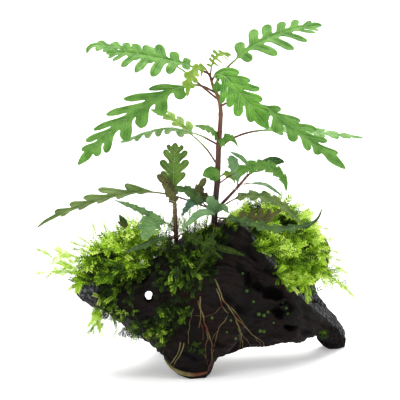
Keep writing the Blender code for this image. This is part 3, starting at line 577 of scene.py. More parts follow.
# wide is half the width across the lobes, stalk is its share of the length, fold lifts the two
# halves and face is what the top turns to
leaves = {
    "leaf_left_large": dict(
        kind="fresh", wide=13.5, lobes=6, stalk=0.17, fold=6, core=0.22, share=0.38, face=(-0.15, -0.9, 0.45),
        route=[(12, 212, 0), (2, 217, -6), (-7.5, 217.5, -11), (-24, 212.5, -18), (-48, 197.5, -26),
               (-69, 180.5, -33), (-91, 158, -38)],
        pairs=[((-17, 215), (-37, 215), (-14, 207.5)), ((-28.5, 211), (-55.5, 208), (-28, 195.5)),
               ((-43, 202.5), (-68.5, 196), (-44, 186.5)), ((-55, 193), (-78.5, 184.5), (-56, 176.5)),
               ((-66, 183), (-84.5, 176), (-70, 168)), ((-76, 173.5), (-88, 169), (-77, 165))]),
    "leaf_top_left_front": dict(
        kind="fresh", wide=12.5, lobes=6, stalk=0.2, fold=8, core=0.22, share=0.38, face=(-0.05, -0.6, 0.8),
        route=[(7.5, 226, 0), (-7, 232, -5), (-30, 237.5, -11), (-52.5, 241.5, -16), (-70, 241, -20)],
        pairs=[((-10.5, 233), (-9, 237.5), (-10, 229.5)), ((-18, 235), (-19.5, 242.5), (-23, 227.5)),
               ((-28, 237), (-30.5, 248), (-35, 226)), ((-37.5, 239), (-40, 247.5), (-47, 229)),
               ((-46.5, 241), (-48, 248), (-58, 232)), ((-55, 242), (-57, 247), (-64.5, 236)),
               ((-62, 242), (-65, 244.5), (-68, 238))]),
    "leaf_top_left_back": dict(
        kind="fresh", wide=12, lobes=7, stalk=0.24, fold=6, face=(-0.1, -0.3, 0.95),
        route=[(13.6, 207, 0), (4, 215, 6), (-6, 223.5, 11), (-14, 230, 14), (-30, 238.5, 19),
               (-50, 244.5, 23), (-69, 247.5, 26), (-81, 247.5, 26), (-85, 242, 24)],
        pairs=[((-36, 241), (-37.5, 247), (-39, 235.5)), ((-46, 243.5), (-49, 249.5), (-50, 238.5)),
               ((-54, 245), (-56.5, 250), (-61.5, 242)), ((-62, 246.5), (-65, 250.5), (-72, 243.5)),
               ((-72, 247.5), (-76, 251), (-78, 244.5))]),
    "leaf_mid_left": dict(
        kind="pale", wide=11, lobes=5, stalk=0.2, fold=-26, face=(0, -0.25, 1),
        route=[(14, 173, 0), (4, 178.5, -5), (-4.5, 182, -9), (-22, 186, -13), (-38, 183, -16),
               (-60, 175, -19)],
        pairs=[((-13, 184), (-24, 187), (-16, 180.5)), ((-22, 185), (-33, 188), (-26, 181.5)),
               ((-29, 184.5), (-40.5, 187), (-32, 180)), ((-37, 183.5), (-45, 184.5), (-40.5, 178)),
               ((-44, 181), (-52.5, 179.5), (-48, 176))]),
    "leaf_mid_left_back": dict(
        kind="lime", wide=9, lobes=5, stalk=0.3, fold=4, face=(0.2, -0.35, 0.9),
        route=[(13.6, 157, 0), (5.5, 169.5, 7), (-5, 180, 11), (-19, 191, 15), (-37, 200, 18)],
        pairs=[((-8, 184.5), (-7, 191.5), (-13, 183)), ((-15, 188), (-14, 195.5), (-21, 189)),
               ((-22, 192.5), (-22, 199), (-28, 193.5)), ((-28, 196), (-28.5, 200), (-32, 197))]),
    "leaf_mid_left_small": dict(
        kind="dark", look="grass", wide=4.2, lobes=4, stalk=0.12, fold=4, core=0.55, face=(0, -0.6, 0.8),
        route=[(14.2, 176.5, 0), (10, 183, -5), (4, 186, -9), (-4.5, 187.5, -12)]),
    "leaf_top_right": dict(
        kind="fresh", wide=13.5, lobes=6, stalk=0.26, fold=6, core=0.15, share=0.34, ends=0.5, face=(0.05, -0.5, 0.85),
        route=[(10.5, 216, 0), (18.5, 229, 5), (34.5, 243.5, 11), (52, 253.5, 15), (71, 260, 18),
               (91.5, 263, 20)],
        pairs=[((31, 241), (29, 250), (38, 237)), ((41, 246.5), (40, 260), (56.5, 241.5)),
               ((51.5, 253), (50, 263.5), (69.5, 246.5)), ((61, 256.5), (61, 265.5), (79, 251.5)),
               ((70, 259), (72.5, 266.5), (85.5, 257)), ((78, 260.5), (83, 266), (88.5, 259))]),
    "leaf_right_front": dict(
        kind="bright", wide=14.5, lobes=7, stalk=0.08, fold=5, core=0.26, share=0.49, ends=0.62, broad=1.06,
        tipWide=5.6, face=(0.3, -0.85, 0.45),
        route=[(9, 221.5, 0), (12, 225.5, -5), (17.5, 224.5, -9), (24, 218, -14), (34.5, 205.5, -23), (41, 197, -28),
               (51, 185, -33)],
        pairs=[((13, 226), (29, 226.5), (10.5, 214)), ((18, 224), (37, 221), (16, 206)),
               ((23.5, 218.5), (43.5, 215.5), (21.5, 202.5)), ((29, 212), (46, 206.5), (28, 195)),
               ((36, 204), (50.5, 197.5), (38, 190.5))]),
    "leaf_right_large": dict(
        kind="fresh", wide=12.5, lobes=6, stalk=0.3, fold=6, core=0.28, share=0.45, ends=0.5, tipWide=4.6,
        face=(-0.1, -0.55, 0.8),
        route=[(15, 202, 0), (30, 208.5, 1), (47, 202.5, 0), (71, 185, -2), (90, 170, -4), (109, 155, -6)],
        pairs=[((49.5, 200), (60.5, 200), (46.5, 191)), ((57, 194), (74.5, 192), (56.5, 184)),
               ((67.5, 186.5), (87, 185), (70, 176.5)), ((76.5, 180), (95, 176), (81, 169.5)),
               ((86, 173), (103, 167), (89, 166))]),
    "leaf_right_far": dict(
        kind="fresh", wide=11, lobes=6, stalk=0.34, fold=3, face=(0, -0.12, 1),
        route=[(14, 171, 0), (26, 179, 6), (44, 184, 12), (71, 184, 18), (100, 181, 22), (123, 178.5, 25)]),
    "leaf_tip_right": dict(
        kind="young", wide=6, lobes=5, stalk=0.3, fold=10, core=0.12, share=0.27, face=(0, -0.8, 0.5),
        route=[(7.8, 225, 0), (8.6, 232.5, 2), (9.7, 236.5, 3), (12.8, 239.7, 4), (16.6, 241.5, 5),
               (23.5, 240.2, 6)],
        pairs=[((8.5, 232), (5, 233.5), (11, 235)), ((9.5, 235.5), (6.5, 237.5), (14, 233)),
               ((11, 238), (8, 241), (16.5, 234)), ((13.5, 240), (9.5, 244), (20.5, 236.5)),
               ((17, 241.5), (13.5, 244), (22.5, 238))]),
    "leaf_tip_left": dict(
        kind="young", wide=7, lobes=4, stalk=0.3, fold=8, core=0.35, face=(0, -0.9, 0.3),
        route=[(8.4, 222, 0), (3, 231, -8), (-4, 230, -14), (-8, 222, -18), (-9.5, 209, -20)],
        pairs=[((2, 230.5), (0, 233.5), (2, 224)), ((-2, 230), (-5, 232.5), (-1.5, 224.5)),
               ((-6, 226.5), (-12, 224), (-2.5, 220)), ((-8, 220.5), (-13, 218), (-4.5, 215.5))]),
    "leaf_stem_small": dict(
        kind="dark", look="grass", wide=3.4, lobes=3, stalk=0.3, fold=6, core=0.6, face=(0, -0.8, 0.6),
        route=[(14.4, 167, 0), (17, 176, -6), (23, 179, -9), (28.5, 172, -12)]),
    "leaf_stem_ovate": dict(
        kind="dark", look="grass", wide=5.0, lobes=0, stalk=0.12, fold=4, core=0.75, face=(0, -0.9, 0.4),
        route=[(13, 144, -2), (11.5, 150, -7), (8, 152.5, -10), (2, 150, -12)]),
    "leaf_branch_upright": dict(
        kind="dark", look="mint", wide=5, lobes=3, stalk=0.18, fold=4, core=0.86, ends=0.9, tipWide=3.4,
        face=(0, -0.95, 0.3), route=[(28.2, 141.5, -7), (28, 149, -8), (25.5, 158, -9), (22.5, 165.5, -9)],
        pairs=[((27.6, 148.5), (23.2, 152), (30.5, 152)), ((26.4, 153), (21.2, 157.5), (30.4, 156.5)),
               ((25, 158), (20.4, 162.5), (28.2, 161.5))]),
    "leaf_branch_narrow": dict(
        kind="dark", look="mint", wide=1.8, lobes=0, stalk=0.3, fold=3, face=(0, -0.6, 0.8),
        route=[(34.6, 148.8, -7), (36, 156, -6), (34.5, 160, -5), (31, 164, -4), (22.5, 168.2, -2)]),
    "leaf_branch_arch": dict(
        kind="deep", look="grass", wide=5.2, lobes=6, stalk=0.36, fold=8, core=0.6, share=0.46,
        face=(0.1, -0.75, 0.65),
        route=[(12.8, 143, -2), (20, 148.5, -12), (29, 153.5, -17), (42.5, 157.5, -21), (52.5, 156, -22),
               (60, 151, -23.5), (64, 144, -24.5), (64.5, 138.5, -25)]),
    "leaf_branch_back": dict(
        kind="deep", look="dark", wide=3.9, lobes=0, stalk=0.14, fold=4, face=(0, -0.8, 0.6),
        route=[(39, 152.6, -7), (44, 156.5, -4), (50, 159.5, -1), (57, 161.5, 1), (63.5, 160.5, 3)]),
    "leaf_branch_low": dict(
        kind="deep", look="mint", wide=1.8, lobes=0, stalk=0.25, fold=4, face=(0, -0.4, 0.9),
        route=[(30, 143.6, -7), (37.5, 144.5, -4), (49.5, 143.5, -2), (61, 135.5, -1)]),
    "leaf_branch_bud": dict(
        kind="dark", look="lime", wide=2.8, lobes=3, stalk=0.35, fold=4, core=0.6, face=(0, -0.9, 0.4),
        route=[(13.5, 148, -2), (18, 151.5, 2), (22.5, 151.5, 4), (25.5, 147.5, 5), (26, 144.5, 5.5)]),
    "leaf_low_right": dict(
        kind="olive", wide=5, lobes=6, stalk=0.26, fold=12, core=0.55, face=(0.2, -0.55, 0.8),
        route=[(11.8, 123, -5), (22.5, 131, -8), (34, 135, -9), (49, 134, -10), (62, 127.5, -11),
               (77.5, 113, -13)]),
    "leaf_low_right_lobed": dict(
        kind="olive", look="bronze", wide=7, lobes=5, stalk=0.3, fold=14, core=0.3, face=(0, -0.8, 0.6),
        route=[(11.2, 119, -5.5), (22, 118, -14), (41, 117.5, -20), (52, 119, -22), (61, 125, -22)],
        pairs=[((32, 118), (33, 123.5), (34, 115.5)), ((37.5, 118), (40.5, 125), (40, 115.5)),
               ((43.5, 118), (46, 126), (46, 115.5)), ((50, 118), (51.5, 125), (52.5, 116))]),
    "leaf_low_right_long": dict(
        kind="olive", look="moor", wide=3.4, lobes=6, stalk=0.2, fold=8, core=0.6, face=(0, -0.7, 0.7),
        route=[(10.6, 116, -6), (21, 118.5, -22), (40, 114, -29), (56, 110.5, -30), (77, 112.5, -27),
               (87, 117, -25), (91.5, 126, -23)]),
    "leaf_on_wood": dict(
        kind="deep", look="shaded", wide=2.5, lobes=0, stalk=0.42, fold=4, face=(0, -0.75, 0.65),
        route=[(10.2, 108, -7), (10, 104, -26), (13, 97, -37), (22, 94.5, -35), (33, 90.5, -29)]),
    "leaf_low_left_long": dict(
        kind="olive", wide=8, lobes=6, stalk=0.36, fold=12, core=0.36, share=0.46, ends=0.3, tipWide=1.8,
        face=(0, -0.55, 0.83),
        route=[(11.5, 124, -5), (0, 128.5, -8), (-21, 135.5, -8), (-40.5, 138, -10), (-65, 134.5, -15),
               (-90, 127, -21), (-112.5, 117.5, -26), (-122, 111, -28)],
        pairs=[((-40, 138), (-55.5, 144), (-46, 136.5)), ((-55, 136.5), (-75.5, 140.5), (-62, 133.5)),
               ((-69, 133.5), (-88.5, 133.5), (-77, 129.5)), ((-83, 129.5), (-102, 126.7), (-91, 125)),
               ((-97, 124.5), (-112, 121.5), (-104, 119.7))]),
    "leaf_low_left_narrow": dict(
        kind="deep", look="matte", wide=2.9, lobes=5, stalk=0.26, fold=4, core=0.78, face=(0.1, -0.8, 0.6),
        route=[(-18.4, 111, -16.5), (-28.5, 117, -20), (-46.5, 125.5, -23), (-64, 132, -25)]),
    "leaf_low_left_round": dict(
        kind="matte", wide=9.5, lobes=3, stalk=0.18, fold=5, core=0.6, share=0.46, face=(-0.1, -0.95, 0.35),
        route=[(-18, 106.5, -16.3), (-24.5, 114.5, -25), (-32, 115, -31), (-38, 110, -34),
               (-43, 102, -36)],
        pairs=[((-30, 117.5), (-37, 120.5), (-25, 112.5)), ((-34, 115), (-44, 118), (-29, 110)),
               ((-37.5, 111), (-46.5, 112), (-34, 107)), ((-39.5, 107), (-45, 106), (-37.5, 104))]),
    "leaf_upright_lobed": dict(
        kind="deep", wide=11, lobes=4, stalk=0.1, fold=4, core=0.4, share=0.44, ends=0.5, face=(0.05, -0.98, 0.2),
        route=[(-19.2, 137, -18), (-20, 146, -17), (-19.5, 158, -15.5), (-18.5, 175, -12.5)],
        pairs=[((-19.5, 143), (-28.5, 152.5), (-11.5, 152)), ((-19.5, 151.5), (-29, 161.5), (-9, 161.5)),
               ((-19, 160), (-26.5, 169), (-10, 168.5)), ((-19, 166.5), (-24, 173), (-13, 173))]),
    "leaf_in_left_moss": dict(
        kind="brown", look="moor", wide=2.4, lobes=0, stalk=0.1, fold=6, face=(0, -0.8, 0.5),
        route=[(-53, 108, -8), (-57, 115, -9), (-60.5, 121, -10)]),
    "leaf_in_left_moss_low": dict(
        kind="brown", look="bronze", wide=1.7, lobes=0, stalk=0.1, fold=6, face=(0, -0.7, 0.7),
        route=[(-53, 108, -8), (-57.5, 113, -12), (-62, 116, -14)]),
    "leaf_base_brown": dict(
        kind="brown", wide=4.4, lobes=5, stalk=0.12, fold=5, core=0.88, share=0.48, tipWide=2.4,
        face=(0, -0.9, 0.4), route=[(-18.8, 128, -17.4), (-22.5, 140, -23), (-27, 146, -26), (-32, 151, -27)]),
    "leaf_base_dark": dict(
        kind="dark", look="moor", wide=4.4, lobes=4, stalk=0.46, fold=5, core=0.88, share=0.48, tipWide=2.6,
        face=(0, -0.8, 0.6),
        route=[(11.6, 126, -4.8), (4.5, 127.8, -13), (-4.5, 135.5, -22), (-11, 139.5, -27),
               (-19.5, 140.5, -30)]),
    "leaf_base_dark_upright": dict(
        kind="dark", look="maroon", wide=4.0, lobes=4, stalk=0.3, fold=5, core=0.88, share=0.48, tipWide=2.4,
        face=(-0.2, -0.95, 0.2),
        route=[(12.3, 136, -3.5), (5, 134, -10), (-1.5, 137.5, -13), (0, 142, -13.5), (4.5, 148.5, -14)]),
    "leaf_base_bluish": dict(
        kind="bluish", wide=3.6, lobes=4, stalk=0.4, fold=5, core=0.88, share=0.48, face=(0, -0.9, 0.4),
        route=[(11.8, 127, -4.6), (3, 131, -12), (-4, 131.5, -18), (-9, 127.5, -21), (-13.5, 120, -23)]),
    "leaf_base_ovate": dict(
        kind="bluish", look="mint", wide=5.6, lobes=4, stalk=0.12, fold=5, core=0.9, share=0.48, tipWide=3.2,
        face=(0.1, -0.95, 0.3),
        route=[(11.2, 121, -5), (10.6, 125.5, -12), (8.5, 130.5, -15), (6, 135, -16)]),
    "leaf_base_arched": dict(
        kind="bluish", look="mint", wide=2.8, lobes=0, stalk=0.25, fold=6, face=(0, -0.8, 0.6),
        route=[(10.9, 118, -5.6), (9.8, 122.5, -22), (1, 122.5, -32), (-7, 116.5, -37), (-13.5, 110.5, -39)]),
    "leaf_base_bud": dict(
        kind="dark", look="mint", wide=2.4, lobes=0, stalk=0.1, fold=5, face=(0.3, -0.9, 0.3),
        route=[(11.2, 122, -5), (17, 127, -13), (21.5, 122, -19)]),
    "leaf_front_pale": dict(
        kind="deep", look="shaded", wide=4.2, lobes=5, stalk=0.3, fold=6, core=0.35, face=(0, -0.85, 0.55),
        route=[(-17.8, 103.5, -16), (-13, 106.5, -32), (-4, 103, -46), (6, 97, -52), (17, 88, -52)]),
    "leaf_front_hanging": dict(
        kind="deep", look="shaded", wide=3, lobes=4, stalk=0.4, fold=5, core=0.6, face=(-0.2, -0.97, 0.1),
        route=[(10.6, 115, -6), (10.5, 111.5, -26), (8.5, 102, -42), (5, 91, -52), (0, 83, -56),
               (-5.5, 75, -59)]),
    "leaf_front_narrow": dict(
        kind="deep", look="moor", wide=2.4, lobes=0, stalk=0.3, fold=4, face=(0, -0.8, 0.6),
        route=[(-17.7, 102, -16), (-22, 104.5, -26), (-32, 102.5, -32), (-42, 98, -36), (-57, 92.5, -41)]),
}


# Along a route: distance in millimetres, place, tangent, top side and left side
def leafFrames(route, face):
    frames, along = [], 0
    for before, place, after in zip([route[0], *route], route, [*route[1:], route[-1]]):
        along += (place - before).length / mm
        tangent = (after - before).normalized()
        top = Vector(face)
        top = (top - top.dot(tangent) * tangent).normalized()
        frames.append((along, place, tangent, top, top.cross(tangent)))
    return frames


# The turn about the tangent from upright to the wanted top side
def leafTilt(tangent, top):
    up = Vector((0, 0, 1))
    level = (up - up.dot(tangent) * tangent).normalized()
    return math.atan2(tangent.dot(level.cross(top)), level.dot(top))


def seen(way):
    return np.array((way.x, way.z * math.cos(drawing["tilt"]) + way.y * math.sin(drawing["tilt"])))


# Lobes on the flat blade from their drawn places: the root's distance, then each side's tip
def drawnLobes(leaf, frames):
    origin = drawn(0, 0, 0)
    along = np.array([frame[0] for frame in frames])
    places = np.array([seen(frame[1] - origin) for frame in frames]) / mm
    tops = np.array([seen(frame[3]) for frame in frames]) * math.tan(math.radians(leaf["fold"]))
    lefts = np.array([seen(frame[4]) for frame in frames])
    lobes = []
    for root, *tips in leaf["pairs"]:
        near = np.argmin(np.linalg.norm(places - root, axis=1))
        lobe = {0: along[near]}
        for tip in tips:
            off = np.array(tip) - places
            side = 1 if off[near] @ lefts[near] > 0 else -1
            reach = side * lefts + tops
            size = np.linalg.norm(reach, axis=1)
            miss = np.abs(off[:, 0] * reach[:, 1] - off[:, 1] * reach[:, 0]) / size
            best = np.argmin(miss + 0.15 * np.abs(along - along[near] - 4))
            out = np.clip((off[best] @ reach[best]) / size[best] ** 2, 2, 1.5 * leaf["wide"])
            lobe[side] = (np.clip(along[best], along[near] - 2, along[near] + 3 + 2.2 * out), out)
        for side in (-1, 1):
            other = lobe.get(-side, (lobe[0] + 3, 4))
            lobe.setdefault(side, other)
        lobes.append(lobe)
    return sorted(lobes, key=lambda lobe: lobe[0])


def evenLobes(leaf, neck, length, rng):
    count = leaf["lobes"] or 7
    pitch = (length - neck) / (count + 0.7)
    lobes = []
    for k in range(count):
        share = (k + 0.6) / count
        full = leaf["wide"] * (0.55 + 0.45 * math.sin(math.pi * share**0.8)) * (1 - 0.25 * share**3)
        lobe = {0: neck + (k + 0.33) * pitch}
        for side in (-1, 1):
            out = full * rng.uniform(0.9, 1.1)
            sweep = leafForm["sweep"] + (0.3 if leaf.get("core", 0) > 0.5 else 0)
            lobe[side] = (lobe[0] + out / math.tan(sweep + rng.uniform(-0.08, 0.08)), out)
        lobes.append(lobe)
    return lobes


# Rows of the flat blade along its midrib: distance, then how far its edge is ahead and out on each side
def bladeRows(leaf, lobes, neck, length):
    if not leaf["lobes"]:
        rows = []
        for i, share in enumerate(leafForm["plain"]):
            half = leaf["wide"] * (0.06 + math.sin(math.pi * share**0.85) ** 0.8 * 0.98) * (1 + 0.06 * (i % 2))
            edge = (0.3 * half * min(1, (1 - share) / 0.2), half)
            rows.append((neck + share * (length - neck), {-1: edge, 1: edge}))
        return rows
    roots = [lobe[0] for lobe in lobes]
    rest = length - roots[-1]
    gaps = [min(roots[1] - roots[0], roots[0] - neck + 3), *np.diff(roots), 0.5 * rest]
    take = leaf.get("share", leafForm["share"])
    rows = [(roots[0] - take * gaps[0] - 2.5, {-1: (0, 0.5), 1: (0, 0.5)})]
    last = max(1, len(lobes) - 1)
    for k, lobe in enumerate(lobes):
        core = leaf.get("core", leafForm["core"]) + 0.18 * (k / last) ** 2
        for gap, start in ((-gaps[k], 0.72 if k == 0 else 1), (0, 1), (gaps[k + 1], 1)):
            edges = {}
            for side in (-1, 1):
                ahead, out = lobe[side]
                edges[side] = ((ahead - lobe[0]) * core * start, out * core * start)
            rows.append((lobe[0] + take * gap, edges))
    begin = rows[-1][0]
    half = leaf.get("tipWide", 0.27 * leaf["wide"])
    for share, breadth in leafForm["tip"]:
        edge = (half * breadth * 0.5 * (1 - share), half * breadth)
        rows.append((begin + share * (length - begin), {-1: edge, 1: edge}))
    return rows


# A flat blade along +X: a grid of five rows, its lobes extruded from the outer rows all at once
def bladeMesh(leaf, lobes, neck, length, rng):
    rows = bladeRows(leaf, lobes, neck, length)
    last = len(rows) - 1
    deselect()
    bpy.ops.mesh.primitive_grid_add(x_subdivisions=last, y_subdivisions=4, size=1)
    obj = bpy.context.object
    bpy.ops.object.mode_set(mode="EDIT")
    bm = bmesh.from_edit_mesh(obj.data)
    lobeOf = bm.verts.layers.int.new("lobe")
    cornerOf = bm.verts.layers.int.new("corner")
    feet = {}
    for vert in bm.verts:
        i, step = round((vert.co.x + 0.5) * last), round(vert.co.y * 4)
        side = 1 if step > 0 else -1
        ahead, out = rows[i][1][side]
        vert.co = (rows[i][0] + ahead * abs(step) / 2, out * step / 2, 0)
        vert[lobeOf] = -1
        if leaf["lobes"] and abs(step) == 2 and 1 <= i <= 3 * len(lobes):
            vert[lobeOf], vert[cornerOf] = (i - 1) // 3, (i - 1) % 3 - 1
            feet[vert[lobeOf], side, vert[cornerOf]] = vert.co.copy()
    for edge in bm.edges:
        ends = [(vert[lobeOf], vert.co.y > 0) for vert in edge.verts]
        edge.select = ends[0] == ends[1] and ends[0][0] >= 0
    swell = {key: rng.uniform(0.93, 1.07) for key in feet}
    ends = leaf.get("ends", 0.9 if leaf.get("core", 0) > 0.5 else leafForm["ends"])
    for out, breadth in leafForm["rings"] if leaf["lobes"] else ():
        bpy.ops.mesh.extrude_edges_move()
        for vert in bm.verts:
            if vert.select:
                k, side, corner = vert[lobeOf], 1 if vert.co.y > 0 else -1, vert[cornerOf]
                foot = feet[k, side, 0]
                tip = Vector((lobes[k][side][0], side * lobes[k][side][1], 0))
                way = (tip - foot).normalized()
                half = (feet[k, side, corner] - foot).length * swell[k, side, corner]
                half *= (breadth or ends) * leaf.get("broad", 1)
                square = Vector((abs(way.y), -side * way.x, 0)) * abs(way.y)
                turn = min(1, out * 1.3)
                aside = Vector((1, 0, 0)) * (1 - turn) + square * turn
                vert.co = foot + (tip - foot) * (out + (0.03 if corner == 0 else 0)) + aside * half * corner
    bmesh.update_edit_mesh(obj.data)
    bpy.ops.object.mode_set(mode="OBJECT")
    smooth = obj.modifiers.new("smooth", "SUBSURF")
    smooth.levels = smooth.render_levels = 2
    applyAll(obj)
    return obj


# How far each flat place is from the nearest side vein
def veinGaps(flat, lobes):
    gaps = np.full(len(flat), 9.0)
    for lobe in lobes:
        for side in (-1, 1):
            start, end = np.array((lobe[0], 0)), np.array((lobe[side][0], side * lobe[side][1]))
            run = end - start
            share = np.clip(((flat[:, :2] - start) @ run) / (run @ run), 0, 0.95)
            gaps = np.minimum(gaps, np.linalg.norm(flat[:, :2] - start - share[:, None] * run, axis=1))
    return np.minimum(gaps, np.abs(flat[:, 1]))


def leafFinish(look):
    colours = leafColours[look]
    finish = Finish(look + "Leaf", roughness=0.5, specular=0.05 if look == "shaded" else 0.22)
    flat = finish.read("flat", "Vector")
    gap, stalk, shade = finish.read("gap"), finish.read("stalk"), finish.read("shade")
    patch = finish.cloud(flat, 0.15, 3.0)
    blister = finish.cloud(flat, 0.75, 2.0)
    mesh = finish.node("ShaderNodeTexVoronoi", {"feature": "DISTANCE_TO_EDGE"}, {"Vector": flat, "Scale": 0.62})
    net = 1 - finish.between(mesh, 0.02, 0.13)
    share = finish.between(patch * 0.7 + blister * 0.3 + shade * 0.3, 0.30, 0.80)
    colour = finish.mix(share, (*colours["deep"], 1), (*colours["light"], 1))
    line = 1 - finish.between(gap, 0.08, 0.42)
    colour = finish.mix(line * 0.45 + net * 0.12, colour, (*colours["vein"], 1))
    colour = finish.mix(finish.between(stalk, 0.1, 0.9), colour, (*stalkColour, 1))
    finish.give("Base Color", colour)
    finish.give("Roughness", 0.42 + 0.25 * blister)
    finish.give("Normal", finish.bump(blister * 0.5 - line * 0.4 - net * 0.35, 0.0004, 0.8))
    return finish


def buildLeaf(name, leaf, finish, seed):
    rng = np.random.default_rng(seed)
    route = smoothRoute([drawn(*place) for place in leaf["route"]], leafForm["routeStep"] * mm)
    length = routeLength(route) / mm
    neck = leaf["stalk"] * length
    if "pairs" in leaf:
        fine = smoothRoute([drawn(*place) for place in leaf["route"]], mm)
        lobes = drawnLobes(leaf, leafFrames(fine, leaf["face"]))
    else:
        lobes = evenLobes(leaf, neck, length, rng)
    blade = bladeMesh(leaf, lobes, neck, length, rng)
    flat = points(blade)
    gaps = veinGaps(flat, lobes)
    setVectors(blade, "flat", flat + [seed * 7.3, 0, 0])
    setValues(blade, "gap", gaps)
    setValues(blade, "stalk", np.zeros(len(flat)))
    size = min(1, leaf["wide"] / 9)
    ripple = np.array([noise.noise(Vector((x * 0.13, y * 0.16, seed * 3.1))) for x, y, _ in flat])
    share = np.abs(flat[:, 1]) / leaf["wide"]
    setValues(blade, "shade", np.clip(ripple + 0.3 * np.minimum(gaps, 2) - 0.2, -1, 1))
    rise = leafForm["puff"] * size * np.minimum(gaps / 2, 1)
    curl = leaf.get("curl", -1.2) * size * share**2
    flat[:, 2] += np.abs(flat[:, 1]) * math.tan(math.radians(leaf["fold"])) + rise + curl
    flat[:, 2] += ripple * leafForm["ripple"] * 2 * size * (share + 0.3)
    setPoints(blade, flat * mm)
    thick = blade.modifiers.new("thick", "SOLIDIFY")
    thick.thickness = leafForm["thick"] * mm
    thick.offset = 0
    applyAll(blade)
    bpy.ops.object.shade_smooth()

    neck = min(neck, lobes[0][0])
    ribEnd = neck + 0.93 * (length - neck)
    steps = max(8, round(ribEnd / 2.5))
    places = [ribEnd * i / steps for i in range(steps + 1)]
    thin = 0.36 + 0.50 * min(1, leaf["wide"] / 12)
    radii = [mm * (thin if x < neck else 0.16 + 0.8 * (thin - 0.16) * (ribEnd - x) / (ribEnd - neck)) for x in places]
    rib = tube(name + "_rib", [Vector((x * mm, 0, -0.1 * mm if x > neck else 0)) for x in places], radii, 1)
    ribPlaces = points(rib) / mm
    setVectors(rib, "flat", ribPlaces)
    setValues(rib, "gap", np.zeros(len(ribPlaces)))
    setValues(rib, "stalk", np.clip((1.15 * neck - ribPlaces[:, 0]) / (0.6 * neck), 0, 1))
    setValues(rib, "shade", np.zeros(len(ribPlaces)))
    piece = joined(name + "_blade", [blade, rib])

    tilts = [leafTilt(frame[2], frame[3]) for frame in leafFrames(route, leaf["face"])]
    for i in range(1, len(tilts)):
        tilts[i] += math.tau * round((tilts[i - 1] - tilts[i]) / math.tau)
    guide = guideCurve(name + "_guide", route, tilts=tilts)
    bend = piece.modifiers.new("bend", "CURVE")
    bend.object = guide
    bend.deform_axis = "POS_X"
    applyAll(piece)
    bpy.data.objects.remove(guide)
    finishPiece(piece, finish, "leaf_" + leaf["kind"], *([name] if name in nodes else []))


def buildLeaves():
    finishes = {look: leafFinish(look) for look in leafColours}
    for seed, (name, leaf) in enumerate(leaves.items()):
        buildLeaf(name, leaf, finishes[leaf.get("look", leaf["kind"])], seed)
    print("leaves", len(leaves))


# ---- moss

# under is the dark short layer, over the long sprigs on it; outside the dense outline of (across, up) points only a
# small share of the sprigs stays
moss = {
    "moss_left": dict(
        under=1500, over=1700, length=(8, 16), lean=(-0.55, -0.3, 0.35), droop=0.3, seed=1, shade=(0.25, 1.0),
        rim=11,
        dense=[(-87, 85.5), (-81, 94.5), (-73.5, 99), (-66, 103.5), (-57, 106.5), (-46.5, 109.5), (-37.5,
              112.5), (-26.2, 115.5), (-16.5, 115.5), (-7.5, 112.5), (3.8, 105.8), (3.8, 57), (-105, 34.5),
              (-96, 63), (-90, 72)]),
    "moss_front": dict(
        under=0, over=620, length=(6, 11), lean=(-0.1, -0.35, -0.4), droop=0.3, seed=2, shade=(0.10, 0.9),
        bare=True),
    "moss_right": dict(
        under=1400, over=1800, length=(8, 16), lean=(0.55, -0.35, 0.05), droop=0.35, seed=3, shade=(0.25, 1.0),
        rim=14,
        dense=[(27, 121.5), (34.5, 127.5), (46.5, 130.5), (60, 130.5), (70.5, 127.5), (78, 121.5), (84, 114),
              (87.8, 105), (91.5, 96), (95.2, 87), (99, 78), (100.5, 70.5), (94.5, 73.5), (87, 75), (83.2,
              69), (79.5, 60), (74.2, 66), (65.2, 78), (62.2, 84), (52.5, 93), (42.8, 98.2), (36, 105.8), (30,
              115.5)]),
    "moss_hanging_tuft": dict(
        under=0, over=60, length=(6, 10), lean=(-0.2, -0.1, -0.6), droop=0.3, seed=4, shade=(0.8, 1.1), bare=True),
    "moss_front_sprig": dict(
        under=0, over=60, length=(5, 9), lean=(0.5, -0.3, 0.2), droop=0.2, seed=5, shade=(0.5, 1.0), bare=True),
    "moss_tip_patch": dict(
        under=0, over=60, length=(3, 6), lean=(0.0, -0.3, 0.1), droop=0.2, seed=6, shade=(0.4, 0.9), bare=True),
    "moss_ridge_sprig": dict(
        under=0, over=50, length=(4, 8), lean=(0.1, -0.2, 0.4), droop=0.1, seed=7, shade=(0.5, 0.95), bare=True),
}
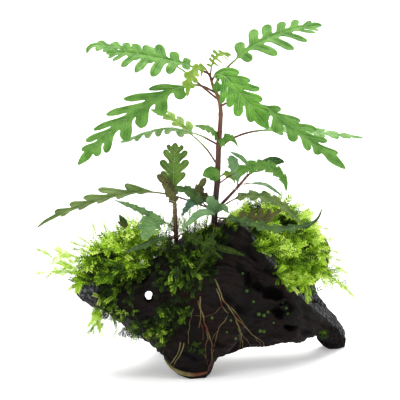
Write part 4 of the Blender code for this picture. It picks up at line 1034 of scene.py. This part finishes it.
# Long single sprigs from root to tip, with how bright they are: (across, up, depth), (across, up, depth)
strands = {
    "moss_left": [
        ((-88.5, 78, -20), (-121.5, 95.2, -24), 1), ((-93, 81, -19), (-108, 93.8, -18), 0.95),
        ((-84, 83.2, -18), (-104.2, 94.5, -18), 1), ((-85.5, 78, -22), (-122.2, 76.5, -27), 1),
        ((-84, 79.5, -20), (-111, 84, -20), 0.95), ((-88.5, 76.5, -24), (-109.5, 78, -27), 0.9),
        ((-87, 75.8, -26), (-98.2, 64.5, -29), 0.95), ((-87, 72, -27), (-93, 63, -29), 0.9),
        ((-76.5, 93.8, -15), (-94.5, 99, -15), 0.95), ((-78, 96, -14), (-90, 102.8, -12), 0.95),
        ((-72, 96.8, -12), (-80.2, 111.8, -9), 1), ((-67.5, 97.5, -10), (-72, 113.2, -7), 1),
        ((-64.5, 99, -9), (-67.5, 108.8, -6), 0.95), ((-60, 102, -7), (-62.2, 112.5, -4), 1),
        ((-53.2, 104.2, -5), (-54.8, 116.2, -2), 1), ((-48.8, 105.8, -3), (-48, 116.2, 0), 0.95),
        ((-42.8, 108, -1), (-40.5, 118.5, 1), 0.95), ((-81, 88.5, -20), (-99, 89.2, -24), 0.9),
        ((-82.5, 85.5, -16), (-97.5, 85.5, -13), 0.95), ((-75, 90, -17), (-87, 94.5, -20), 0.9),
        ((-85.5, 81, -24), (-105, 81, -30), 0.9), ((-79.5, 85.5, -14), (-91.5, 93, -10), 0.95),
        ((-72, 91.5, -16), (-81, 100.5, -18), 0.95), ((-57, 100.5, -10), (-60, 109.5, -10), 0.9),
        ((-75, 66, -26), (-62.5, 40, -28), 0.5), ((-66, 50, -24), (-62, 31.5, -26), 0.6),
        ((-26, 104, 4), (-27, 119, 4), 0.8), ((-22, 106, 4), (-19, 121, 2), 0.75), ((-15, 104, 4), (-12, 116, 2), 0.75),
        ((-30, 102, 2), (-35, 116, 2), 0.75), ((-12, 104, 3), (-14, 122, 3), 0.8), ((-34, 104, 2), (-42, 114, 2), 0.8),
        ((-8, 106, 4), (-8, 123, 2), 0.8), ((-18, 100, 4), (-17, 116, 3), 0.65),
        ((-24, 100, 4), (-22, 116, 3), 0.65), ((-5, 104, 4), (-4, 117, 3), 0.7), ((-10, 102, 4), (-10, 114, 3), 0.6)],
    "moss_right": [
        ((57, 126, 20), (62.2, 135.8, 21), 1), ((63, 126, 22), (68.2, 134.2, 23), 1),
        ((69, 124.5, 24), (78, 129.8, 26), 1), ((51, 127.5, 18), (52.5, 135, 18), 0.95),
        ((43.5, 127.5, 16), (42, 134.2, 15), 0.95), ((37.5, 124.5, 14), (33, 131.2, 12), 0.95),
        ((75, 120, 26), (85.5, 122.2, 28), 0.95), ((82.5, 111, 26), (96, 110.2, 27), 1),
        ((87, 103.5, 26), (99, 101.2, 26), 0.95), ((91.5, 96, 27), (102.8, 93, 27), 1),
        ((91.5, 90, 26), (105, 85.5, 24), 0.9), ((96, 84, 28), (108.8, 77.2, 29), 1),
        ((97.5, 79.5, 30), (116.2, 59.2, 31), 1), ((94.5, 78, 28), (108, 66, 29), 0.95),
        ((90, 78, 18), (100.5, 63.8, 14), 0.95), ((87, 79.5, 14), (94.5, 69, 9), 0.95),
        ((79.5, 94.5, 14), (91.5, 85.5, 8), 0.95), ((72, 99, 10), (82.5, 90, 4), 0.95),
        ((64.5, 105, 8), (75, 97.5, 2), 0.95), ((57, 112.5, 6), (66, 106.5, 0), 0.95),
        ((46.5, 118.5, 4), (54, 112.5, -2), 0.95), ((37.5, 123, 2), (43.5, 115.5, -3), 0.95),
        ((75, 85.5, 6), (81, 75, 1), 0.95), ((77.2, 70.5, 4), (80.2, 56.2, 1), 0.95),
        ((72, 81, 3), (75.8, 69, -1), 0.95), ((61.5, 94.5, 3), (66, 85.5, -2), 0.95),
        ((49.5, 103.5, 2), (54, 94.5, -2), 0.9),
        ((-4, 108, 5), (-1, 124, 4), 0.8), ((4, 108, 5), (6, 120, 4), 0.75), ((16, 108, 5), (20, 126, 4), 1.0),
        ((18, 106, 4), (24, 122, 3), 0.95), ((22, 110, 6), (29, 124, 6), 1.0), ((12, 110, 4), (12, 124, 2), 0.9)],
    "moss_front": [
        ((-28, 92, -6), (-40, 86, -8), 0.5), ((-46, 96, -4), (-36, 88, -8), 0.5), ((-40, 98, 0), (-32, 92, -6), 0.45),
        ((-26, 100, 0), (-32, 94, -4), 0.5), ((-24, 96, 2), (-28, 102, 0), 0.6), ((-44, 90, -6), (-34, 84, -10), 0.5),
        ((-34, 94, -2), (-42, 90, -6), 0.4), ((-30, 98, 2), (-24, 94, -2), 0.4), ((-38, 88, -2), (-30, 86, -6), 0.35),
        ((-34, 86, 2), (-30, 102, 4), 0.4), ((-28, 88, 2), (-24, 104, 4), 0.4), ((-22, 88, 0), (-18, 104, 2), 0.4),
        ((-38, 88, 2), (-38, 102, 4), 0.45), ((-32, 96, 4), (-20, 98, 2), 0.35), ((-36, 92, 4), (-24, 92, 2), 0.35),
        ((-30, 102, 4), (-18, 104, 2), 0.5), ((-40, 100, 2), (-30, 106, 2), 0.55), ((-26, 84, 0), (-16, 94, 0), 0.35)],
    "moss_hanging_tuft": [((-76, 52, -20), (-82, 34, -21), 0.9), ((-78, 48, -20), (-74.5, 33, -22), 0.85)],
}
# Sprigs on the front of the wood: middle across and up, half size, count, lengths, lean, how bright
tufts = {
    "moss_left": [
        ((-24, 109), (9, 5), 90, (6, 10), (0.0, -0.4, 0.7), (0.5, 1.1)),
        ((-8, 108), (7, 4), 60, (6, 10), (0.0, -0.4, 0.8), (0.5, 1.1)),
        ((2, 110), (5, 4), 40, (6, 10), (0.0, -0.4, 0.8), (0.5, 1.1))],
    "moss_front": [
        ((5, 99), (15, 11), 380, (5, 10), (0.0, -0.3, 0.6), (0.10, 0.75)),
        ((24, 112), (7, 5), 50, (4, 8), (0.2, -0.3, 0.7), (0.4, 0.95)),
        ((-38, 104), (14, 9), 280, (5, 10), (-0.2, -0.3, 0.5), (0.15, 0.85)),
        ((-52, 82), (18, 10), 260, (5, 10), (0.0, -0.4, -0.2), (0.15, 0.95)),
        ((-24, 84), (16, 14), 330, (5, 10), (0.0, -0.4, -0.2), (0.10, 0.75)),
        ((-4, 80), (15, 15), 360, (5, 10), (0.1, -0.4, -0.2), (0.10, 0.75)),
        ((-66, 62), (10, 8), 110, (5, 9), (0.1, -0.4, -0.4), (0.3, 1.0)),
        ((-62, 48), (15, 4), 120, (4, 7), (0.1, -0.5, 0.2), (0.3, 1.0)),
        ((-22, 52), (13, 9), 170, (5, 9), (0.2, -0.4, -0.3), (0.10, 0.8)),
        ((-36, 35), (14, 6), 160, (4, 7), (0.3, -0.5, 0.3), (0.2, 0.95)),
        ((-88, 76), (12, 8), 90, (5, 9), (-0.2, -0.4, 0.1), (0.3, 1.0))],
    "moss_right": [
        ((50, 104), (16, 12), 320, (6, 11), (0.5, -0.4, 0.1), (0.4, 1.0)),
        ((72, 80), (16, 14), 320, (6, 11), (0.5, -0.4, -0.1), (0.4, 1.0))],
}
mossColours = {
    "bright": [(0.0, (0.003, 0.006, 0.001)), (0.22, (0.016, 0.038, 0.002)), (0.45, (0.10, 0.21, 0.006)),
               (0.70, (0.32, 0.54, 0.022)), (1.0, (0.66, 0.82, 0.17))],
    # deep: the moss ramp darkened throughout, painted shade for the moss on the shaded front of the wood
    "deep": [(0.0, (0.002, 0.004, 0.001)), (0.28, (0.008, 0.018, 0.002)), (0.54, (0.040, 0.085, 0.005)),
             (0.78, (0.15, 0.29, 0.012)), (1.0, (0.48, 0.66, 0.09))],
}
# painted glow: how strongly each moss ramp glows
mossGlow = {"bright": 0.28, "deep": 0.16}
frondForm = {"steps": 4, "branchlets": 6, "angle": 0.95, "spread": 0.25, "width": 0.050, "axis": 0.022}


# A flat feathery sprig along +X, 1 long: a thin axis and pointed branchlets on both sides
def frondTemplate():
    corners, faces, tips = [], [], []
    steps = frondForm["steps"]
    for i in range(steps + 1):
        x = i / steps
        half = frondForm["axis"] * (1.1 - x)
        corners += [(x, -half, 0), (x, half, 0)]
        tips += [x * 0.7, x * 0.7]
    for i in range(steps):
        a = 2 * i
        faces += [(a, a + 2, a + 1), (a + 1, a + 2, a + 3)]
    count = frondForm["branchlets"]
    for i in range(count):
        at = 0.06 + 0.86 * i / count
        reach = frondForm["spread"] * math.sin(math.pi * (0.16 + 0.78 * (1 - at) ** 0.9)) ** 0.7
        for side in (-1, 1):
            root = np.array((at + (0.03 if side > 0 else 0), 0, 0))
            out = np.array((math.cos(frondForm["angle"]), side * math.sin(frondForm["angle"]), 0))
            beside = np.array((-out[1], out[0], 0)) * frondForm["width"]
            middle = root + out * reach * 0.5 + np.array((0, 0, 0.012))
            end = root + out * reach + np.array((reach * 0.12, 0, -0.02))
            first = len(corners)
            corners += [tuple(root), tuple(middle - beside), tuple(middle + beside), tuple(end)]
            tips += [at * 0.7, at * 0.6 + 0.25, at * 0.6 + 0.25, at * 0.5 + 0.5]
            faces += [(first, first + 1, first + 2), (first + 1, first + 3, first + 2)]
    return np.array(corners), np.array(faces), np.array(tips)


# Places spread evenly over a node's surface, with the outward direction at each
def spreadOver(node, count, rng):
    mesh = nodes[node].data
    mesh.calc_loop_triangles()
    corners = np.array([vert.co for vert in mesh.vertices])
    triangles = np.array([triangle.vertices for triangle in mesh.loop_triangles])
    a, b, c = (corners[triangles[:, i]] for i in range(3))
    across = np.cross(b - a, c - a)
    area = np.linalg.norm(across, axis=1)
    chosen = rng.choice(len(area), count, p=area / area.sum())
    u, v = rng.random(count), rng.random(count)
    flip = u + v > 1
    u[flip], v[flip] = 1 - u[flip], 1 - v[flip]
    places = a[chosen] + (b - a)[chosen] * u[:, None] + (c - a)[chosen] * v[:, None]
    return places, across[chosen] / area[chosen][:, None]


def unit(vectors):
    return vectors / np.maximum(np.linalg.norm(vectors, axis=-1, keepdims=True), 1e-9)


# One mesh of bent copies of the sprig: each has a root, a direction, a face, a length and a bend
def frondMesh(name, roots, ways, faceWays, lengths, bends, shades, rng):
    corners, faces, tips = frondTemplate()
    ways = unit(ways)
    faceWays = unit(faceWays - ways * (faceWays * ways).sum(1, keepdims=True))
    sideWays = np.cross(faceWays, ways)
    x, y, z = corners.T
    turn = bends[:, None] * x[None, :]
    safe = np.where(np.abs(bends) < 1e-3, 1e-3, bends)[:, None]
    ahead = np.sin(turn) / safe
    aside = (1 - np.cos(turn)) / safe
    twist = rng.uniform(-0.5, 0.5, len(roots))[:, None] * x[None, :]
    acrossY, acrossZ = y * np.cos(twist) - z * np.sin(twist), y * np.sin(twist) + z * np.cos(twist)
    squeeze = rng.uniform(0.7, 1.2, len(roots))[:, None]
    places = (ways[:, None] * ahead[..., None] - faceWays[:, None] * (aside - acrossZ)[..., None]
              + sideWays[:, None] * (acrossY * squeeze)[..., None])
    places = roots[:, None] + places * lengths[:, None, None]
    count, size = len(roots), len(corners)
    floors = np.clip(shades * 1.2 - 0.5, 0.14, 0.7)[:, None]    # bright sprigs have brighter bases
    allFaces = (faces[None] + (np.arange(count) * size)[:, None, None]).reshape(-1, 3)
    mesh = bpy.data.meshes.new(name)
    mesh.from_pydata(places.reshape(-1, 3), [], allFaces)
    obj = bpy.data.objects.new(name, mesh)
    bpy.context.scene.collection.objects.link(obj)
    # each sprig goes from dark at its base to bright at its tip: partly the moss's own colour, partly painted shade
    # deeper in the cushion
    setValues(obj, "bright", (shades[:, None] * (floors + (1 - floors) * tips)).ravel())
    return obj


# Which spots lie inside an outline
def inside(spots, outline):
    x, y = spots[:, 0], spots[:, 1]
    within = np.zeros(len(spots), dtype=bool)
    for (x0, y0), (x1, y1) in zip(outline, outline[1:] + outline[:1]):
        if y0 != y1:
            within ^= ((y0 > y) != (y1 > y)) & (x < (x1 - x0) * (y - y0) / (y1 - y0) + x0)
    return within


# A shrunk dark copy of the moss node: painted shade filling the inside of the cushion
def mossShadeCore(node):
    core = copyOfNode(node)
    core.data.remesh_voxel_size = 0.0016
    bpy.ops.object.voxel_remesh()
    shrink = core.modifiers.new("shrink", "DISPLACE")
    shrink.strength = -0.0062
    shrink.mid_level = 0
    relax = core.modifiers.new("relax", "SMOOTH")
    relax.iterations = 3
    applyAll(core)
    form = moss[node]
    spots = drawnSpots(points(core))
    middle = spots[inside(spots, form["dense"])].mean(axis=0)
    bare = ~inside(middle + (spots - middle) * 1.12, form["dense"])
    bpy.ops.object.mode_set(mode="EDIT")
    bpy.ops.mesh.select_all(action="DESELECT")
    bpy.ops.object.mode_set(mode="OBJECT")
    core.data.vertices.foreach_set("select", bare)
    bpy.ops.object.mode_set(mode="EDIT")
    bpy.ops.mesh.delete(type="VERT")
    bpy.ops.object.mode_set(mode="OBJECT")
    # painted shade: the core takes the darkest moss colour
    setValues(core, "bright", np.zeros(len(core.data.vertices)))
    return core


def mossFinish(name):
    finish = Finish(name + "Moss", roughness=0.6, specular=0.15)
    bright = finish.read("bright")
    patch = finish.cloud(finish.place(), 130.0, 2.0)
    colour = finish.ramp(bright + (patch - 0.5) * 0.16, mossColours[name])
    finish.give("Base Color", colour)
    finish.give("Emission Color", colour)    # painted glow standing in for light coming through the thin leaflets
    finish.give("Emission Strength", mossGlow[name])
    return finish


def mossLayer(node, form, count, over, woodTree, rng):
    places, outward = spreadOver(node, count * 2, rng)
    clear = np.array([woodTree.find_nearest(Vector(place))[3] for place in places])
    buried = np.array([woodTree.ray_cast(Vector(place), Vector(way), 0.006)[0] is not None
                       for place, way in zip(places, outward)])
    spots = drawnSpots(places)
    chance = np.where(inside(spots, form["dense"]), 1, 0.01) if "dense" in form else np.ones(len(places))
    clump = np.array([noise.noise(Vector(place) * 95 + Vector((form["seed"], 0, 0))) for place in places])
    rim = np.zeros(len(places))
    if "rim" in form:    # light comes through the sprigs along the outline
        rim = np.clip(1 - np.abs(besideLine(spots, form["dense"][:form["rim"]])) / 9, 0, 1)
    if over:
        chance *= np.clip(0.50 + clump * 3.0, 0.04, 1)
    keep = np.flatnonzero((clear > 0.0010) & ~buried & (rng.random(len(places)) < chance))[:count]
    places, outward, clump, rim = places[keep], outward[keep], clump[keep], rim[keep]
    total = len(places)
    lengths = rng.uniform(*form["length"], total) * mm * (1 if over else 0.6)
    spread = rng.normal(0, 0.48 if over else 0.35, (total, 3))
    ways = unit(outward * (0.55 if over else 0.8) + np.array(form["lean"]) * (1 if over else 0.4) + spread)
    sunk = rng.uniform(0.15, 0.5, total) if over else rng.uniform(1.1, 1.5, total)
    roots = places - ways * (lengths * sunk)[:, None] - outward * 0.001
    faceWays = unit(outward + np.array((0, -0.4, 0.4)) + rng.normal(0, 0.3, (total, 3)))
    bends = rng.uniform(-0.2, 0.6, total) + form["droop"]
    low, high = form["shade"]
    # painted light from above: sprigs facing up are brighter
    lift = np.clip(outward[:, 2] * 0.5 + 0.5, 0, 1)
    shades = rng.uniform(low, high, total) * (0.62 + 0.38 * lift) + clump * 0.5
    # painted shade: the under layer is darkened to a third inside the cushion
    return roots, ways, faceWays, lengths, bends, (shades if over else shades * 0.35) + 0.32 * rim


# The place on the wood's front behind a drawn spot, and the way out of it
def onWood(woodTree, across, up, lift=0.0):
    way = Vector((0, math.cos(drawing["tilt"]), -math.sin(drawing["tilt"])))
    start = drawn(across, up, 0) - way * 0.3
    hit, normal, _, _ = woodTree.ray_cast(start, way, 0.6)
    if hit is None:
        return None, None
    if normal.dot(way) > 0:
        normal = -normal
    return hit + (normal - way).normalized() * lift, normal


def mossTufts(node, woodTree, rng):
    columns = [[] for _ in range(6)]
    for middle, size, count, length, lean, shade in tufts.get(node, ()):
        for _ in range(count):
            angle, far = rng.uniform(0, math.tau), math.sqrt(rng.random())
            across, up = middle[0] + size[0] * far * math.cos(angle), middle[1] + size[1] * far * math.sin(angle)
            hit, normal = onWood(woodTree, across, up)
            chance = 0.55 + 2.4 * noise.noise(Vector((across, up, 0)) * 0.13)
            if hit is None or rng.random() > chance or hit.y > 0.03 or math.dist((across, up), wood["peephole"]) < 6:
                continue
            way = np.array(normal) * 0.6 + np.array(lean) + rng.normal(0, 0.4, 3)
            values = (np.array(hit), way, np.array(normal) + (0, -0.5, 0.3) + rng.normal(0, 0.3, 3),
                      rng.uniform(*length) * mm, rng.uniform(-0.2, 0.8), rng.uniform(*shade) * min(1.2, 0.5 + chance * 0.7))
            for column, value in zip(columns, values):
                column.append(value)
    return [np.array(column, dtype=float) for column in columns]


def mossStrands(node, rng):
    columns = [[] for _ in range(6)]
    for start, end, shade in strands.get(node, ()):
        run = drawn(*end) - drawn(*start)
        droop = Vector((0, 0, rng.uniform(-0.12, 0.20) * run.length))
        count = max(4, round(run.length / (2.6 * mm)))
        for k in range(count):    # short sprigs to both sides along the strand
            part = k / count
            place = drawn(*start) + run * part + droop * part * (1 - part) * 2
            way = unit(np.array(run)) + rng.normal(0, 0.16 + 0.34 * (1 - part), 3)
            values = (np.array(place), way, (rng.normal(0, 0.3), -1.0, 0.6), rng.uniform(6, 9) * mm,
                      rng.uniform(-0.3, 0.5), shade * rng.uniform(0.85, 1.15))
            for column, value in zip(columns, values):
                column.append(value)
    return [np.array(column, dtype=float) for column in columns]


def buildMoss(woodTree):
    finishes = {name: mossFinish(name) for name in mossColours}
    for node, form in moss.items():
        rng = np.random.default_rng(form["seed"])
        layers = [mossLayer(node, form, form[layer], layer == "over", woodTree, rng)
                  for layer in ("under", "over") if form[layer]]
        if node in strands:
            layers.append(mossStrands(node, rng))
        if node in tufts:
            layers.append(mossTufts(node, woodTree, rng))
        columns = [np.concatenate(column) for column in zip(*layers)]
        fronds = frondMesh(node + "_fronds", *columns, rng)
        piece = joined(node + "_sprigs", [fronds] + ([] if form.get("bare") else [mossShadeCore(node)]))
        # painted shade: the moss on the front of the wood takes the darker deep ramp
        kind = "deep" if node in ("moss_front", "moss_front_sprig", "moss_tip_patch") else "bright"
        slot = "moss_deep" if node in ("moss_front", "moss_front_sprig") else "moss_bright"
        finishPiece(piece, finishes[kind], slot, node)
        print(node, len(columns[0]), len(piece.data.polygons))


# ---- roots

# Each root's main run and its forks on the front of the wood: (across, up) points, radius in millimetres
roots = {
    "root_long_right": [
        (0.55, [(11, 73), (14, 66), (18, 57), (25.5, 45), (30, 33), (32, 22.5), (30, 16)]),
        (0.35, [(25.5, 45), (33, 37.5), (41, 30), (47.5, 25), (46.5, 20.5), (40, 20), (34, 19.5)]),
        (0.35, [(18, 57), (24.5, 47), (28.5, 36), (30, 24), (29, 15)]),
        (0.22, [(30, 33), (35, 27), (38, 23), (36, 20)])],
    "root_outer_right": [
        (0.32, [(23, 52), (30, 43), (36, 35), (42, 28), (46, 23), (43, 20)])],
    "root_inner_right": [
        (0.28, [(21, 46), (17, 40), (13.5, 34.5), (10.5, 22.5), (9, 16)]),
        (0.18, [(13.5, 34.5), (10, 30), (8.5, 27)])],
    "root_reddish": [
        (0.38, [(12, 66), (14, 61), (16.5, 52.5), (21, 47.5)]),
        (0.20, [(16.5, 52.5), (12, 48), (4, 45), (-4, 46)])],
    "root_centre": [
        (0.55, [(0, 60), (1, 49.5), (4.5, 37.5), (9, 22.5), (8.3, 12), (6, 4.5)]),
        (0.32, [(4.5, 37.5), (5.5, 28), (4, 18), (6, 9)])],
    "root_pale": [
        (0.42, [(-1.5, 57), (0.5, 47), (0, 40.5), (-1.5, 36)]),
        (0.2, [(0, 40.5), (3, 33), (2, 27)])],
    "root_thin_green": [
        (0.26, [(-5, 51), (-7.5, 40.5), (-9, 30), (-8, 24)])],
    "root_low_left": [
        (0.5, [(-14.5, 25.5), (-16.5, 18), (-21, 10.5), (-25.5, 7)]),
        (0.45, [(-12, 25), (-13.5, 19), (-18, 12), (-20, 8)])],
}
# Pale hair-like rootlets in the air beside the stem: (across, up, depth) points
rootlets = [
    [(16.5, 142, -6), (18.5, 143.5, -9), (21, 144.5, -10), (24.5, 144, -9)],
    [(16.5, 141.5, -6), (20, 141, -10), (22.5, 139.5, -11), (28, 140.5, -10)],
    [(27.5, 140.5, -8), (29.5, 137.5, -11), (30, 135, -11), (28.5, 131.5, -10), (27.5, 127, -10)],
    [(33, 142.5, -8), (36, 146.5, -11), (40.5, 149.5, -11)], [(22, 127.5, -9), (25, 129.5, -11), (27.5, 132, -11)],
    [(13, 196, -2), (8, 193, -6), (6.5, 190, -8)], [(16, 182, 0), (20, 186, -6), (22, 189, -8)],
    [(2, 150, -6), (-2, 146, -10), (-4, 140, -12)], [(-19, 130.5, -19), (-24, 132.5, -21)],
    [(-19, 128, -19), (-23.5, 128, -21)], [(-19, 126, -19), (-22.5, 124.5, -21)], [(-18, 131, -19), (-13, 133, -21)],
    [(-18, 128.5, -19), (-12.5, 129.5, -21)], [(-18, 126, -19), (-14.5, 124.5, -21)]]
stub = [(-28, 11, -42), (-22, 6.5, -46), (-14, 3.2, -50), (-5, 1.6, -52), (3, 1.6, -53), (8.5, 1.2, -53)]
rootColours = {"ochre": (0.15, 0.105, 0.030), "red": (0.13, 0.036, 0.014), "pale": (0.20, 0.18, 0.075)}
# Round leaflets of a creeper on the wood: (across, up) and radius
leaflets = [
    (35, 64, 1.3), (44, 46.5, 1.5), (48, 45.5, 1.4), (51, 48, 1.1), (45, 34, 1.4), (48, 33.5, 1.3), (9, 44, 1.1),
    (23, 42, 1.0), (26.5, 28.5, 1.1), (64.5, 51, 1.0), (66, 46.5, 1.0), (32, 77, 1.0), (29, 36, 0.9), (40, 56, 1.0),
    (62, 55, 0.9), (20, 33, 0.9), (-52, 66, 1.0), (55, 40, 0.8)]


def buildRoots(woodTree):
    finish = Finish("aerialRoot", roughness=0.5, specular=0.3)
    spot = finish.place()
    stretch = finish.node("ShaderNodeMapping", {}, {"Vector": spot, "Scale": (300, 300, 60)})
    streak = finish.cloud(stretch, 1.0, 2.0)
    patch = finish.cloud(spot, 70.0, 1.0)
    colour = finish.mix(finish.between(streak, 0.35, 0.65), (*rootColours["ochre"], 1), (*rootColours["pale"], 1))
    colour = finish.mix(finish.between(patch, 0.5, 0.65), colour, (*rootColours["red"], 1))
    finish.give("Base Color", colour)
    finish.give("Normal", finish.bump(streak, 0.0002, 0.6))
    for seed, (name, runs) in enumerate(roots.items()):
        pieces = []
        for radius, spots in runs:
            route = []
            for place in smoothRoute([(across, up, 0) for across, up in spots], 2.2):
                wave = noise.noise_vector(Vector((place.x, place.y, seed * 5)) * 0.22)
                hit, _ = onWood(woodTree, place.x + wave.x * 1.1, place.y + wave.y * 0.6, 0.6 * radius * mm)
                if hit is not None and (not route or (hit - route[-1]).length < 0.04):
                    route.append(hit)
            radii = [radius * mm * (1.1 - 0.6 * i / len(route)) for i in range(len(route))]
            pieces.append(tube(name + "_run", route, radii, 1))
        finishPiece(joined(name + "_strand", pieces), finish, "root", name)

    hairFinish = Finish("rootlet", roughness=0.6, specular=0.3)
    hairFinish.give("Base Color", hairFinish.mix(hairFinish.cloud(hairFinish.place(), 90.0), (0.36, 0.31, 0.19, 1),
                                                 (0.55, 0.50, 0.36, 1)))
    hairs = []
    for places in rootlets:
        route = smoothRoute([drawn(*place) for place in places], 0.0015)
        hairs.append(tube("rootlet", route, [0.30 * mm] * len(route), 1))
    finishPiece(joined("aerial_rootlets", hairs), hairFinish, "root")

    route = []
    for place in stub:
        hit = woodTree.find_nearest(drawn(*place))[0]
        route.append(Vector((hit.x, hit.y, max(0.0012, hit.z))))
    route = smoothRoute(route, 0.003)
    radii = [mm * (0.5 + 1.1 * math.sin(math.pi * min(1, 0.08 + 0.85 * i / len(route)))) for i in range(len(route))]
    bark = tube("root_stub", route, radii, 2)
    finishPiece(bark, finish, "root")
    print("roots")


def buildLeaflets(woodTree):
    finish = Finish("creeperLeaflet", roughness=0.5, specular=0.3)
    tone = finish.cloud(finish.place(), 60.0)
    finish.give("Base Color", finish.mix(tone, (0.012, 0.045, 0.003, 1), (0.07, 0.17, 0.012, 1)))
    pieces = []
    for across, up, radius in leaflets:
        hit, normal = onWood(woodTree, across, up, 0.0006)
        if hit is None:
            continue
        deselect()
        turn = (normal + Vector((0, -0.6, 0.3))).to_track_quat("Z", "Y")
        bpy.ops.mesh.primitive_uv_sphere_add(segments=12, ring_count=6, radius=radius * mm, location=hit,
                                             rotation=turn.to_euler())
        disc = bpy.context.object
        bpy.ops.object.mode_set(mode="EDIT")
        bpy.ops.mesh.select_all(action="SELECT")
        bpy.ops.transform.resize(value=(1, 1, 0.22), orient_type="LOCAL")
        bpy.ops.object.mode_set(mode="OBJECT")
        bpy.ops.object.transform_apply(location=True, rotation=True, scale=True)
        bpy.ops.object.shade_smooth()
        pieces.append(disc)
    finishPiece(joined("creeper_leaflets", pieces), finish, "leaf_fresh")
    print("leaflets", len(pieces))


buildStudio()
driftwood = buildWood()
woodTree = BVHTree.FromObject(driftwood, bpy.context.evaluated_depsgraph_get())
buildStems()
buildLeaves()
buildMoss(woodTree)
buildRoots(woodTree)
buildLeaflets(woodTree)
